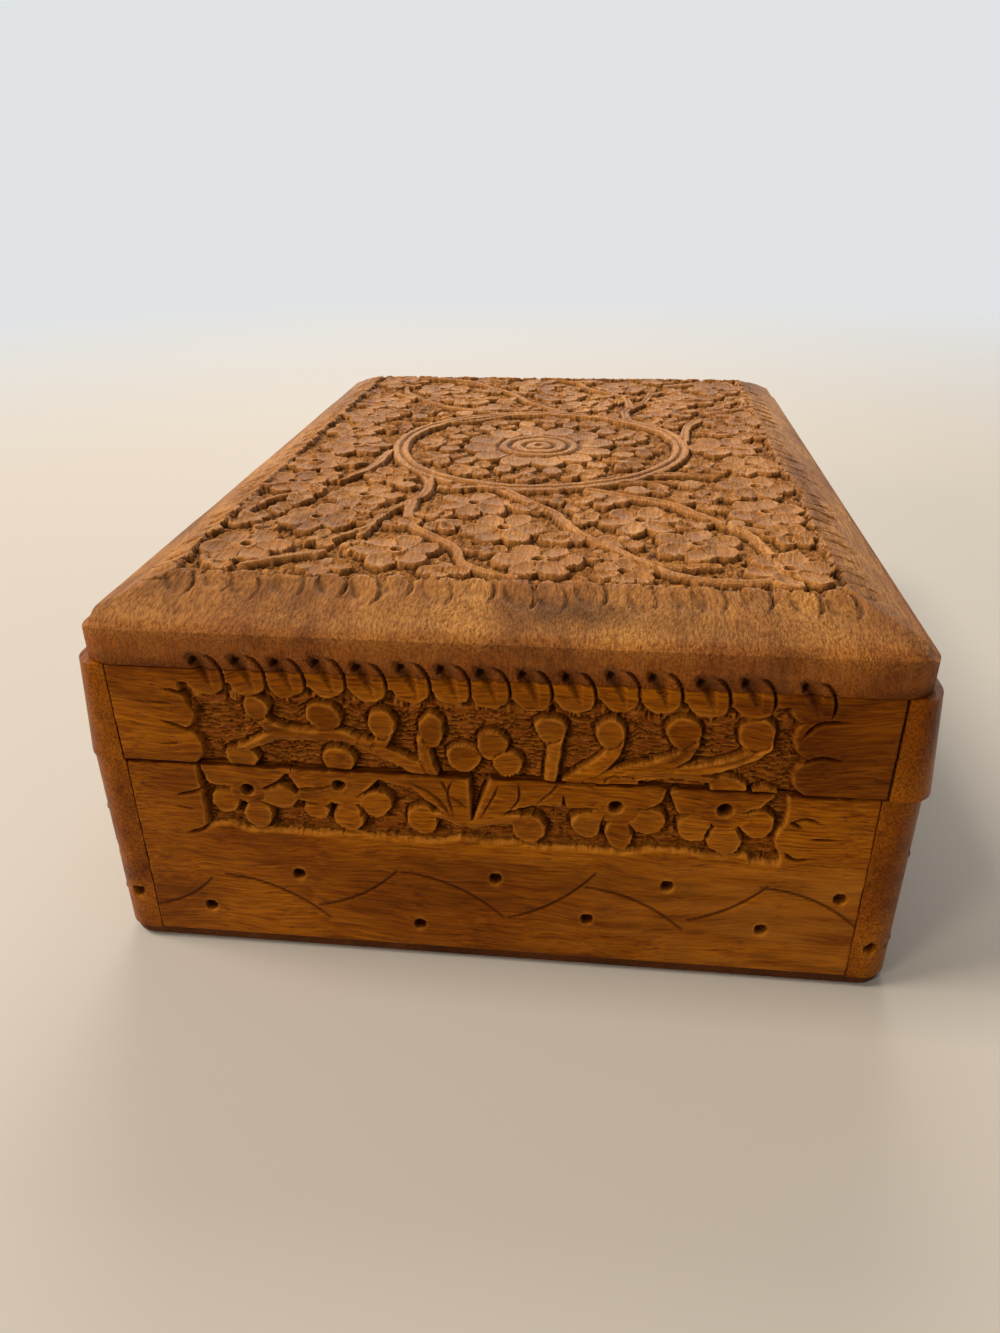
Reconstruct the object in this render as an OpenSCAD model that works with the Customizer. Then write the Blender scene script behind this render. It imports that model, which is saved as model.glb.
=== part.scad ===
// Hinged wooden keepsake box, carved all over, standing on its underside.
// Frame: millimetres, +Z up, origin at the middle of the underside.
// +Y runs along the box away from the near end, and +X is the right-hand side.
// The lid turns on two small butt hinges that are let into the left-hand rims.

/* [Base] */
// Outside width of the base
base_w = 151; // [120:0.5:220]
// Outside length of the base
base_l = 202.5; // [160:0.5:300]
// Height of the base from the table to its rim
base_h = 43; // [34:0.5:90]
// Thickness of the four base walls
base_wall = 8; // [7:0.5:12]
// Radius of the upright corners of the base and of the lid's frame
corner_r = 5.5; // [4:0.5:8]
// Thickness of the bottom board, which is nailed on under the walls
bottom_t = 2.5; // [2:0.1:6]
// How far the bottom board stays inside the outside of the walls
bottom_inset = 0.6; // [0:0.1:2]

/* [Lid] */
// How far the lid stands over the base, all round
lid_overhang = 0.5; // [0:0.1:2]
// How far the lid sits to the right of the middle of the base
lid_shift = 0.45; // [0:0.05:0.8]
// Height of the lid's frame
frame_h = 19.7; // [15:0.1:50]
// Thickness of the four walls of the lid's frame
lid_wall = 8; // [7:0.5:12]
// How far the long sides of the lid's frame lean in over their height
side_lean = 1.8; // [0:0.1:3]
// Thickness of the top board at its flat middle
top_t = 13; // [9:0.5:25]
// Height of the top board's upright edge, below its bevel
top_edge_h = 7.5; // [4:0.5:8.5]
// Width of the bevel round the top board
bevel_w = 13.5; // [5:0.5:25]
// How far the top board's long edges stay inside the lid's frame
top_step = 1.2; // [0:0.1:3]
// Radius of the upright corners of the top board
top_corner_r = 6.5; // [4:0.5:12]
// Gap between the rims of base and lid when the lid is shut
rim_gap = 0.3; // [0.2:0.05:1]

/* [Carving] */
// Depth of the ground that is cut away round the flowers on the top board
carve_depth = 1.8; // [0.5:0.1:2.5]
// Plain margin between the carved field and the bevel
carve_margin = 0.6; // [0.2:0.1:2]
// Radius of the ring of vine in the middle of the field
ring_r = 35.5; // [28:0.5:40]
// Width of the vines
vine_w = 2.8; // [1.6:0.1:4]
// Radius of the large flower inside the ring
rosette_r = 19; // [14:0.5:22]
// Radius of the small flowers
flower_r = 8; // [6:0.5:9]
// Radius of the twelve flowers between the large flower and the ring
inner_flower_r = 5.4; // [4:0.2:6]
// Radius of the buds between the small flowers
bud_r = 4.4; // [3:0.2:5]

/* [Hinges] */
// Length of each hinge
hinge_l = 25; // [18:1:40]
// Distance from the end of the base to the middle of a hinge
hinge_end = 45; // [30:1:70]
// Reach of a leaf from the pin's axis to the leaf's free edge
leaf_w = 5.6; // [5.2:0.1:5.8]
// Thickness of the leaves
leaf_t = 0.9; // [0.6:0.1:1.2]
// Outside diameter of the knuckles
barrel_d = 4; // [3.4:0.1:4.2]
// Diameter of the hinge pins
pin_d = 1.6; // [1:0.1:2]
// Number of knuckles on a hinge, shared by its two leaves
knuckles = 5; // [3:2:7]
// How far the pin's axis lies inside the back face of the base
pin_inset = 1.2; // [0.6:0.1:1.8]
// How far the lid opens before the bevelled back edges meet
open_angle = 100; // [90:1:110]

/* [Fasteners] */
// Diameter of the hinge screws
screw_d = 1.6; // [1.2:0.1:1.8]
// Length of the hinge screws
screw_l = 9; // [6:0.5:12]
// Diameter of the heads of the hinge screws
screw_head_d = 3; // [2.4:0.1:3.1]
// Diameter of the brads
brad_d = 1.4; // [1:0.1:2]
// Length of the brads
brad_l = 18; // [14:0.5:22]
// Diameter of the heads of the brads
brad_head_d = 2.4; // [2.1:0.1:3.2]
// Thickness of the heads of the brads
brad_head_t = 0.8; // [0.5:0.1:1.2]
// How deep the heads of the brads are punched below the wood
brad_sink = 0.3; // [0.1:0.1:0.8]
// Height of the lower corner brads above the bottom board
brad_rise = 8; // [6:0.5:12]
// Depth of the upper corner brads below the rim of the base
brad_drop = 13; // [11:0.5:18]

/* [Clearances] */
// Clearance between a pin, screw or brad and its hole, on the radius
shank_fit = 0.05; // [0.02:0.01:0.1]
// Clearance round a leaf in its recess
leaf_fit = 0.1; // [0.05:0.05:0.3]
// Clearance between two knuckles
knuckle_gap = 0.2; // [0.1:0.05:0.4]
// Clearance between a knuckle and the wood or leaf that it turns in
barrel_gap = 0.3; // [0.3:0.05:0.6]
// Angle by which each bevelled back edge is cut past the stop
stop_clear = 0.5; // [0.2:0.1:2]

/* [Hidden] */
$fn = 64;
past = 1;                                   // how far a cut runs past what it cuts

WOOD = [0.52, 0.29, 0.13];
LID_WOOD = [0.56, 0.32, 0.15];
DARK_WOOD = [0.30, 0.17, 0.09];
BRASS = [0.78, 0.62, 0.32];
STEEL = [0.45, 0.43, 0.41];

lid_w = base_w + 2 * lid_overhang;
lid_l = base_l + 2 * lid_overhang;
lid_z = base_h + rim_gap;                   // underside of the lid's frame
frame_top = lid_z + frame_h;                // seam under the top board
top_w = lid_w - 2 * side_lean - 2 * top_step;

axis_x = -base_w / 2 + pin_inset;           // the hinge pins' axis runs along Y here
axis_z = base_h + rim_gap / 2;
barrel_r = barrel_d / 2;
hinge_y = base_l / 2 - hinge_end;
screw_x = (barrel_r + barrel_gap + leaf_w) / 2;    // screws sit mid-way across the flat of a leaf
screw_pitch = hinge_l / 2;
countersink_h = (screw_head_d - screw_d) / 2;

base_brad_z = [bottom_t + brad_rise, base_h - brad_drop];
lid_brad_z = [lid_z + frame_h / 4, frame_top - frame_h / 4];
bottom_brad_side_y = [-base_l / 3, 0, base_l / 3];
bottom_brad_end_x = [-base_w / 4, base_w / 4];

// The pattern is drawn for the near half of a field of this size, from its middle, and the far
// half is the same, turned about the middle of the ring.
drawn_field = [119, 176.5];
ring_middle = [0.5, 2];
drawn_flowers = [[-50, -74], [-41, -57.5], [-20.5, -74.5], [-34.5, -42], [-10, -46], [-2, -61],
                 [6, -77.5], [25, -54], [36, -67], [50.5, -78], [51, -29], [51, -46.5],
                 [51.5, -12], [-52.5, -16.5], [-53, -33]];
drawn_buds = [[-15, -58], [-15, -35], [1.5, -49], [8, -39.5], [16.5, -39.5], [12.5, -52.5],
              [10, -63], [22, -65], [-31.5, -53], [-22.5, -61], [-10.5, -82], [-38, -70], [-53, -60],
              [-46.5, -45], [-32.5, -81.5], [37, -56.5], [37, -38], [54, -60], [22, -81.5],
              [-44.5, -27], [41.5, -15.5]];
drawn_vines = [[[-25, -23], [-21.5, -39], [-28.5, -59], [-29.5, -67]],
               [[-23, -45], [-20, -62], [-10, -72.5], [-2, -84]],
               [[-7, -32.5], [7.5, -51], [14.5, -64], [24.5, -76], [38.5, -77.5]],
               [[14.5, -35], [31, -42.5], [41, -54], [47.5, -67]],
               [[12.5, -31], [30, -21], [42.5, -21.5]],
               [[-36.5, -6], [-38, -21], [-43, -31.5]]];
field = [top_w - 2 * bevel_w - 2 * carve_margin, lid_l - 2 * bevel_w - 2 * carve_margin];
spread = [field.x / drawn_field.x, field.y / drawn_field.y];     // a larger field is a wider pattern
middle = [ring_middle.x * spread.x, ring_middle.y * spread.y];
inner_turn = 27;                            // where the first flower inside the ring stands
inner_gap = 1;                              // between those flowers and the large one

// ---- the outside of base and lid ----

// A plate with rounded upright corners, centred on Z and standing on z = 0.
module rounded_plate(w, l, h, r) {
  linear_extrude(h) {
    square([w - 2 * r, l], center = true);
    square([w, l - 2 * r], center = true);
    for (x = [-1, 1], y = [-1, 1])
      translate([x * (w / 2 - r), y * (l / 2 - r)]) circle(r);
  }
}

// A prism along Y with its section drawn in X and Z.
module prism_y(l, section) {
  translate([0, l / 2, 0]) rotate([90, 0, 0]) linear_extrude(l) polygon(section);
}

// A prism along X with its section drawn in Y and Z.
module prism_x(w, section) {
  translate([-w / 2, 0, 0]) rotate([90, 0, 90]) linear_extrude(w) polygon(section);
}

module base_outside() {
  translate([0, 0, bottom_t]) rounded_plate(base_w, base_l, base_h - bottom_t, corner_r);
}

// The long sides of the lid's frame lean in towards the top.
module lid_outside() {
  translate([lid_shift, 0, 0]) intersection() {
    translate([0, 0, lid_z]) rounded_plate(lid_w, lid_l, frame_h, corner_r);
    prism_y(lid_l, [[-lid_w / 2, lid_z], [lid_w / 2, lid_z],
                    [lid_w / 2 - side_lean, frame_top], [-lid_w / 2 + side_lean, frame_top]]);
  }
}

// Keeps the part of a wall ring that is one long side: side is -1 (left) or 1 (right).
module long_side(side, w, l, wall, z, h) {
  intersection() {
    children();
    translate([side > 0 ? w / 2 - wall : -w / 2 - past, -l / 2 - past, z])
      cube([wall + past, l + 2 * past, h]);
  }
}

// Keeps the part of a wall ring that is one end, between the long sides: end is -1 (near) or 1.
module cross_end(end, w, l, wall, z, h) {
  intersection() {
    children();
    translate([-w / 2 + wall, end > 0 ? l / 2 - wall : -l / 2 - past, z])
      cube([w - 2 * wall, wall + past, h]);
  }
}

module base_side(side) {
  long_side(side, base_w, base_l, base_wall, bottom_t, base_h - bottom_t) base_outside();
}

module base_end(end) {
  cross_end(end, base_w, base_l, base_wall, bottom_t, base_h - bottom_t) base_outside();
}

module lid_side(side) {
  translate([lid_shift, 0, 0])
    long_side(side, lid_w, lid_l, lid_wall, lid_z, frame_h)
      translate([-lid_shift, 0, 0]) lid_outside();
}

module lid_end(end) {
  translate([lid_shift, 0, 0])
    cross_end(end, lid_w, lid_l, lid_wall, lid_z, frame_h)
      translate([-lid_shift, 0, 0]) lid_outside();
}

// ---- brads ----

// A brad driven along -Z: its head's face is at z = 0.
module brad() {
  translate([0, 0, -brad_head_t]) cylinder(d = brad_head_d, h = brad_head_t);
  translate([0, 0, -brad_l + brad_d]) cylinder(d = brad_d, h = brad_l - brad_d);
  translate([0, 0, -brad_l]) cylinder(d1 = brad_d / 4, d2 = brad_d, h = brad_d);
}

// The hole that a brad leaves, open above its head.
module brad_hole() {
  run_out = side_lean + brad_sink + past;
  translate([0, 0, -brad_head_t])
    cylinder(d = brad_head_d + 2 * shank_fit, h = brad_head_t + run_out);
  translate([0, 0, -brad_l]) cylinder(d = brad_d + 2 * shank_fit, h = brad_l);
}

// How far the rounded corner has fallen back where the corner brads go in.
function corner_fall(wall) = corner_r <= wall / 2 ? 0
  : corner_r - sqrt(corner_r * corner_r - (corner_r - wall / 2) * (corner_r - wall / 2));

// Places a copy at each corner brad of the base, driven in along X from outside.
module at_base_corner_brads() {
  for (side = [-1, 1], end = [-1, 1], z = base_brad_z)
    translate([side * (base_w / 2 - corner_fall(base_wall) - brad_sink),
               end * (base_l / 2 - base_wall / 2), z])
      rotate([0, side * 90, 0]) children();
}

// The same for the lid, whose long sides lean in.
module at_lid_corner_brads() {
  for (side = [-1, 1], end = [-1, 1], z = lid_brad_z)
    translate([lid_shift + side * (lid_w / 2 - max(corner_fall(lid_wall), side_lean) - brad_sink),
               end * (lid_l / 2 - lid_wall / 2), z])
      rotate([0, side * 90, 0]) children();
}

// Places a copy at each brad of the bottom board, driven up into the middle of a wall.
module at_bottom_brads() {
  for (side = [-1, 1], y = bottom_brad_side_y)
    translate([side * (base_w / 2 - base_wall / 2), y, brad_sink]) rotate([180, 0, 0]) children();
  for (end = [-1, 1], x = bottom_brad_end_x)
    translate([x, end * (base_l / 2 - base_wall / 2), brad_sink]) rotate([180, 0, 0]) children();
}

// ---- hinges, drawn with the pin's axis along Y through the origin ----

knuckle_l = hinge_l / knuckles;

// One leaf: side is 1 for the lid's leaf and -1 for the base's, first is its first knuckle.
module hinge_leaf(side, first) {
  plate_z = side > 0 ? rim_gap / 2 : -rim_gap / 2 - leaf_t;
  difference() {
    union() {
      translate([barrel_r + barrel_gap, -hinge_l / 2, plate_z])
        cube([leaf_w - barrel_r - barrel_gap, hinge_l, leaf_t]);
      for (k = [first : 2 : knuckles - 1])
        translate([0, -hinge_l / 2 + k * knuckle_l + knuckle_gap / 2, 0]) {
          rotate([-90, 0, 0]) cylinder(d = barrel_d, h = knuckle_l - knuckle_gap);
          translate([0, 0, plate_z])
            cube([leaf_w / 2, knuckle_l - knuckle_gap, leaf_t]);
        }
    }
    translate([0, -hinge_l / 2 - past, 0]) rotate([-90, 0, 0])
      cylinder(d = pin_d + 2 * shank_fit, h = hinge_l + 2 * past);
    at_leaf_screws(side) screw_hole();
  }
}

module hinge_pin() {
  translate([0, -hinge_l / 2, 0]) rotate([-90, 0, 0]) cylinder(d = pin_d, h = hinge_l);
}

// Places a copy at each screw of a leaf, with -Z pointing into the wood.
module at_leaf_screws(side) {
  for (y = [-screw_pitch / 2, screw_pitch / 2])
    translate([screw_x, y, side * rim_gap / 2]) rotate([side > 0 ? 180 : 0, 0, 0]) children();
}

// A countersunk slotted screw whose head's face is at z = 0.
module screw() {
  slot_w = 0.5;
  slot_depth = 0.4;
  difference() {
    union() {
      translate([0, 0, -countersink_h])
        cylinder(d1 = screw_d, d2 = screw_head_d, h = countersink_h);
      translate([0, 0, -screw_l + screw_d])
        cylinder(d = screw_d, h = screw_l - screw_d - countersink_h);
      translate([0, 0, -screw_l]) cylinder(d1 = screw_d / 4, d2 = screw_d, h = screw_d);
    }
    translate([-slot_w / 2, -screw_head_d, -slot_depth])
      cube([slot_w, 2 * screw_head_d, slot_depth + past]);
  }
}

// The hole for a screw: a bore, and a cone for its head that runs on past the face.
module screw_hole() {
  run_out = 0.2;
  translate([0, 0, -countersink_h])
    cylinder(d1 = screw_d + 2 * shank_fit, d2 = screw_head_d + 2 * shank_fit + 2 * run_out,
             h = countersink_h + run_out);
  translate([0, 0, -screw_l - shank_fit]) cylinder(d = screw_d + 2 * shank_fit, h = screw_l);
}

// Places a copy at the near hinge (-1) or the far hinge (1).
module at_hinge(end) {
  translate([axis_x, end * hinge_y, axis_z]) children();
}

// What is cut out of a rim for one hinge: the leaf's recess, room for the barrel, screw holes.
module hinge_recess(side) {
  translate([0, -hinge_l / 2 - leaf_fit, side > 0 ? -rim_gap : -rim_gap / 2 - leaf_t])
    cube([leaf_w + leaf_fit, hinge_l + 2 * leaf_fit, leaf_t + 1.5 * rim_gap]);
  translate([0, -hinge_l / 2 - leaf_fit, 0]) rotate([-90, 0, 0])
    cylinder(r = barrel_r + barrel_gap, h = hinge_l + 2 * leaf_fit);
  at_leaf_screws(side) screw_hole();
}

// What is planed off a back edge so that the open lid stops at open_angle.
module back_bevel(side) {
  run = pin_inset + past;
  drop = run * tan(open_angle / 2 + stop_clear);
  translate([axis_x, 0, axis_z])
    prism_y(lid_l + 2 * past, [[0, 0], [-run, side * drop], [-run, -side * past], [0, -side * past]]);
}

// ---- the pieces of the base ----

module bottom_board() {
  color(DARK_WOOD) difference() {
    rounded_plate(base_w - 2 * bottom_inset, base_l - 2 * bottom_inset, bottom_t,
                  corner_r - bottom_inset);
    at_bottom_brads() brad_hole();
  }
}

module base_left_side() {
  color(WOOD) difference() {
    base_side(-1);
    back_bevel(-1);
    for (end = [-1, 1]) at_hinge(end) hinge_recess(-1);
    at_base_corner_brads() brad_hole();
    at_bottom_brads() brad_hole();
  }
}

module base_right_side() {
  color(WOOD) difference() {
    base_side(1);
    at_base_corner_brads() brad_hole();
    at_bottom_brads() brad_hole();
  }
}

module base_cross_end(end) {
  color(WOOD) difference() {
    base_end(end);
    at_base_corner_brads() brad_hole();
    at_bottom_brads() brad_hole();
  }
}

module base_near_end() { base_cross_end(-1); }

module base_far_end() { base_cross_end(1); }

// ---- the carving on the top board, in plan ----

// Round petals on a circle, each lapping its neighbours a little, round a disc. r is the reach.
module flower_plan(r, petals) {
  lap = 1.1 * sin(180 / petals);
  petal_r = r * lap / (1 + lap);
  circle((r - petal_r) * cos(180 / petals));
  for (k = [0 : petals - 1]) rotate(360 / petals * k) translate([r - petal_r, 0]) circle(petal_r);
}

// A vine through a list of points: straight lengths with a round at each joint.
module vine_plan(points) {
  for (k = [0 : len(points) - 2]) {
    run = points[k + 1] - points[k];
    translate(points[k]) rotate(atan2(run.y, run.x))
      translate([0, -vine_w / 2]) square([norm(run), vine_w]);
    translate(points[k + 1]) circle(0.55 * vine_w);
  }
}

// Everything that is left standing on one half of the field.
module half_plan() {
  for (p = drawn_flowers) translate([p.x * spread.x, p.y * spread.y]) flower_plan(flower_r, 6);
  for (p = drawn_buds) translate([p.x * spread.x, p.y * spread.y]) flower_plan(bud_r, 3);
  for (vine = drawn_vines) vine_plan([for (p = vine) [p.x * spread.x, p.y * spread.y]]);
}

// The ground that is cut away.
module carved_ground() {
  linear_extrude(carve_depth + past) difference() {
    square(field, center = true);
    half_plan();
    translate(middle) rotate(180) translate(-middle) half_plan();
    translate(middle) {
      difference() {
        circle(ring_r + vine_w / 2);
        circle(ring_r - vine_w / 2);
      }
      flower_plan(rosette_r, 12);
      for (k = [0 : 11]) rotate(360 / 12 * k + inner_turn)
        translate([rosette_r + inner_gap + inner_flower_r, 0]) flower_plan(inner_flower_r, 4);
    }
  }
}

// ---- the pieces of the lid ----

// The bevel is cut across the width by one prism and along the length by the other.
module lid_top_board() {
  edge_top = frame_top + top_edge_h;
  top_z = frame_top + top_t;
  function bevelled(span) = [[-span / 2, frame_top], [span / 2, frame_top], [span / 2, edge_top],
                             [span / 2 - bevel_w, top_z], [-span / 2 + bevel_w, top_z],
                             [-span / 2, edge_top]];
  color(LID_WOOD) translate([lid_shift, 0, 0]) difference() {
    intersection() {
      translate([0, 0, frame_top]) rounded_plate(top_w, lid_l, top_t, top_corner_r);
      prism_y(lid_l, bevelled(top_w));
      prism_x(top_w, bevelled(lid_l));
    }
    translate([0, 0, top_z - carve_depth]) carved_ground();
  }
}

module lid_left_side() {
  color(LID_WOOD) difference() {
    lid_side(-1);
    back_bevel(1);
    for (end = [-1, 1]) at_hinge(end) hinge_recess(1);
    at_lid_corner_brads() brad_hole();
  }
}

module lid_right_side() {
  color(LID_WOOD) difference() {
    lid_side(1);
    at_lid_corner_brads() brad_hole();
  }
}

module lid_cross_end(end) {
  color(LID_WOOD) difference() {
    lid_end(end);
    at_lid_corner_brads() brad_hole();
  }
}

module lid_near_end() { lid_cross_end(-1); }

module lid_far_end() { lid_cross_end(1); }

// ---- the hinges and what holds the wood together ----

module near_hinge_base_leaf() { color(BRASS) at_hinge(-1) hinge_leaf(-1, 0); }
module near_hinge_lid_leaf() { color(BRASS) at_hinge(-1) hinge_leaf(1, 1); }
module near_hinge_pin() { color(BRASS) at_hinge(-1) hinge_pin(); }
module near_hinge_base_screws() { color(BRASS) at_hinge(-1) at_leaf_screws(-1) screw(); }
module near_hinge_lid_screws() { color(BRASS) at_hinge(-1) at_leaf_screws(1) screw(); }

module far_hinge_base_leaf() { color(BRASS) at_hinge(1) hinge_leaf(-1, 0); }
module far_hinge_lid_leaf() { color(BRASS) at_hinge(1) hinge_leaf(1, 1); }
module far_hinge_pin() { color(BRASS) at_hinge(1) hinge_pin(); }
module far_hinge_base_screws() { color(BRASS) at_hinge(1) at_leaf_screws(-1) screw(); }
module far_hinge_lid_screws() { color(BRASS) at_hinge(1) at_leaf_screws(1) screw(); }

module base_corner_brads() { color(STEEL) at_base_corner_brads() brad(); }
module lid_corner_brads() { color(STEEL) at_lid_corner_brads() brad(); }
module bottom_brads() { color(STEEL) at_bottom_brads() brad(); }

bottom_board();
base_left_side();
base_right_side();
base_near_end();
base_far_end();
lid_top_board();
lid_left_side();
lid_right_side();
lid_near_end();
lid_far_end();
near_hinge_base_leaf();
near_hinge_lid_leaf();
near_hinge_pin();
far_hinge_base_leaf();
far_hinge_lid_leaf();
far_hinge_pin();
near_hinge_base_screws();
near_hinge_lid_screws();
far_hinge_base_screws();
far_hinge_lid_screws();
base_corner_brads();
lid_corner_brads();
bottom_brads();
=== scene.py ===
# %% [markdown]
# # A carved keepsake box
# The real box is a small chest of one reddish-brown wood. Four boards make the tray, four more
# and a thick bevelled board make the lid, and two brass butt hinges join them at the back of the
# left side. Nearly every face is carved by hand: flowers and vines stand at the old surface while
# the ground round them is chopped away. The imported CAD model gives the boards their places. Here
# each carved board is built again as a fine grid of points, pushed inwards by a drawing of cuts.

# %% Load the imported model
import math

import bpy
import numpy as np
from mathutils import Matrix


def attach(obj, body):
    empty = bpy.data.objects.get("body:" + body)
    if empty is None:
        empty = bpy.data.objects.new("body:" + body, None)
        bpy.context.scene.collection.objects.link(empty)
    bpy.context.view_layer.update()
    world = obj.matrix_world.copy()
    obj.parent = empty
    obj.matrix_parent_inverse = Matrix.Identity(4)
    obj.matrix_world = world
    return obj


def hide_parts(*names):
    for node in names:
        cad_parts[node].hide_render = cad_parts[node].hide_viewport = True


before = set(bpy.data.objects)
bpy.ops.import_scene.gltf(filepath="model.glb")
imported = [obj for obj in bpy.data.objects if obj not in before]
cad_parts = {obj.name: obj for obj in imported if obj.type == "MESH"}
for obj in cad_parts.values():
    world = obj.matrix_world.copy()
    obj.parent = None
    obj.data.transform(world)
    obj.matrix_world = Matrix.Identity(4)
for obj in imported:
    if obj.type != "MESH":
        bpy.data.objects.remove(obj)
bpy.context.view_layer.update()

MM = 0.001

# %% [markdown]
# ## Camera
# The photograph was taken close up with a short lens, so the near corners are large and the far
# edge is small. The camera's place was worked out from the corners of the box, with the box held at
# the model's size: the three numbers of its direction are turned into the axes of its own frame.

# %% Camera at the photograph's place
PHOTO_HEIGHT_PX = 1333
FOCAL_PX = 963.0
SENSOR_MM = 36.0
CAMERA_PLACE_MM = (18.25, -241.84, 139.97)
yaw, pitch, roll = -0.114, 0.483, 0.010

forward = np.array([math.sin(yaw) * math.cos(pitch), math.cos(yaw) * math.cos(pitch), -math.sin(pitch)])
level = np.cross(forward, (0, 0, 1))
level /= np.linalg.norm(level)
down = np.cross(forward, level)
right_axis = math.cos(roll) * level + math.sin(roll) * down
down_axis = math.cos(roll) * down - math.sin(roll) * level

camera_data = bpy.data.cameras.new("photo_camera")
camera_data.sensor_width = SENSOR_MM
camera_data.lens = FOCAL_PX / PHOTO_HEIGHT_PX * SENSOR_MM
camera_data.clip_start, camera_data.clip_end = 0.01, 20
camera = bpy.data.objects.new("photo_camera", camera_data)
bpy.context.scene.collection.objects.link(camera)
camera.matrix_world = Matrix.Translation(np.array(CAMERA_PLACE_MM) * MM) @ Matrix(
    np.column_stack([right_axis, -down_axis, -forward])
).to_4x4()
bpy.context.scene.camera = camera
print("lens, mm:", round(camera_data.lens, 2))

# %% [markdown]
# ## Colours and nodes
# Paint colours are written as the hex values that an eye would pick off a screen, but Blender mixes
# light in linear values, so one function changes them. Another adds a shader node, sets it and
# wires it in one line, so that a material reads as a list of its patterns.


# %% Helpers for colours and nodes
def colour(hex_code):
    """sRGB hex to linear RGBA: each channel c gives ((c + 0.055) / 1.055) to the power 2.4."""
    channels = [int(hex_code[i:i + 2], 16) / 255 for i in (1, 3, 5)]
    linear = [c / 12.92 if c <= 0.04045 else ((c + 0.055) / 1.055) ** 2.4 for c in channels]
    return (*linear, 1.0)


def add(tree, kind, sockets=(), out=0, **settings):
    """Adds one node and gives its output out. settings are its properties. sockets are its inputs, in
    their order or by name or number, as values or as links."""
    made = tree.nodes.new("ShaderNode" + kind)
    for name, value in settings.items():
        setattr(made, name, value)
    for name, value in sockets.items() if isinstance(sockets, dict) else enumerate(sockets):
        if isinstance(value, bpy.types.NodeSocket):
            tree.links.new(value, made.inputs[name])
        else:
            made.inputs[name].default_value = value
    return made.outputs[out] if made.outputs else None


def new_material(name):
    """An empty node material and its shader, already wired to the surface output."""
    made = bpy.data.materials.new(name)
    made.use_nodes = True
    tree = made.node_tree
    tree.nodes.clear()
    surface = add(tree, "BsdfPrincipled")
    add(tree, "OutputMaterial", {"Surface": surface})
    return made, tree, surface.node


print("walnut brown is", [round(c, 3) for c in colour("#5c3a21")])

# %% [markdown]
# ## Stage and light
# A pale floor and a pale wall, lit as in a bright room: a wide soft light from behind puts a pale
# sheen on the upward faces, one under the ceiling lights the carving from the left, and a weak one
# fills the front. The wall is pale by its own colour, as the camera and mirrors see it, so no extra
# light falls on the box.

# %% Floor, world and lamps
FLOOR_HALF_M = 3.0
FADE_M = (0.35, 0.95)
WALL_COLOUR = "#e1e4e6"


def stage_floor():
    """A flat square at z = 0. Far from the box it fades into the wall's own colour, so that the
    picture has no hard horizon."""
    mesh = bpy.data.meshes.new("floor")
    corners = [(-1, -1), (1, -1), (1, 1), (-1, 1)]
    mesh.from_pydata([(x * FLOOR_HALF_M, y * FLOOR_HALF_M, 0) for x, y in corners], [], [(0, 1, 2, 3)])
    floor = bpy.data.objects.new("floor", mesh)
    bpy.context.scene.collection.objects.link(floor)
    material, tree, shader = new_material("matt_pale_floor")
    shader.inputs["Base Color"].default_value = colour("#c0bcb6")
    shader.inputs["Roughness"].default_value = 0.7
    shader.inputs["Specular IOR Level"].default_value = 0.2
    far = add(tree, "VectorMath", (add(tree, "TexCoord", out="Object"),), "Value", operation="LENGTH")
    far = add(tree, "MapRange", (far, *FADE_M))
    wall = add(tree, "Emission", {"Color": colour(WALL_COLOUR), "Strength": 1.0})
    fade = add(tree, "Math", (far, seen_rays(tree)), operation="MULTIPLY")
    blend = add(tree, "MixShader", (fade, shader.outputs[0], wall))
    output = next(n for n in tree.nodes if n.type == "OUTPUT_MATERIAL")
    tree.links.new(blend, output.inputs["Surface"])
    mesh.materials.append(material)


def seen_rays(tree):
    """1 for rays from the camera, from mirrors and through glass, and 0 for those that light things."""
    seen, glossy, through = add(tree, "LightPath").node.outputs, "Is Glossy Ray", "Is Transmission Ray"
    both = add(tree, "Math", (seen["Is Camera Ray"], seen[glossy]), operation="ADD")
    return add(tree, "Math", (both, seen[through]), operation="ADD", use_clamp=True)


def pale_world():
    """Light of one strength for surfaces, and the wall's own colour for the camera and mirrors."""
    world = bpy.data.worlds.new("pale_room")
    bpy.context.scene.world = world
    world.use_nodes = True
    tree = world.node_tree
    tree.nodes.clear()
    room = add(tree, "Background", {"Color": colour("#f3efe8"), "Strength": 0.26})
    wall = add(tree, "Background", {"Color": colour(WALL_COLOUR), "Strength": 1.0})
    add(tree, "OutputWorld", {"Surface": add(tree, "MixShader", (seen_rays(tree), room, wall))})


def soft_lamp(name, place, aim, size, watts, tint):
    """A square lamp at place that faces aim, in metres."""
    data = bpy.data.lights.new(name, "AREA")
    data.size, data.energy = size, watts
    data.color = colour(tint)[:3]
    lamp = bpy.data.objects.new(name, data)
    bpy.context.scene.collection.objects.link(lamp)
    away = np.array(place, float) - np.array(aim, float)
    away /= np.linalg.norm(away)
    side = np.cross((0, 0, 1), away)
    side /= np.linalg.norm(side)
    lamp.matrix_world = Matrix.Translation(place) @ Matrix(
        np.column_stack([side, np.cross(away, side), away])
    ).to_4x4()


stage_floor()
pale_world()
soft_lamp("window_behind", (-0.25, 2.70, 1.90), (0, 0, 0.05), 2.4, 84.0, "#fff6ea")
soft_lamp("ceiling_left", (-1.50, -0.20, 2.30), (0, 0, 0), 1.0, 60.0, "#fff1de")
soft_lamp("left_fill", (-1.65, -1.75, 0.95), (0, 0, 0.03), 0.5, 21.0, "#ffe9cf")

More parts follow.
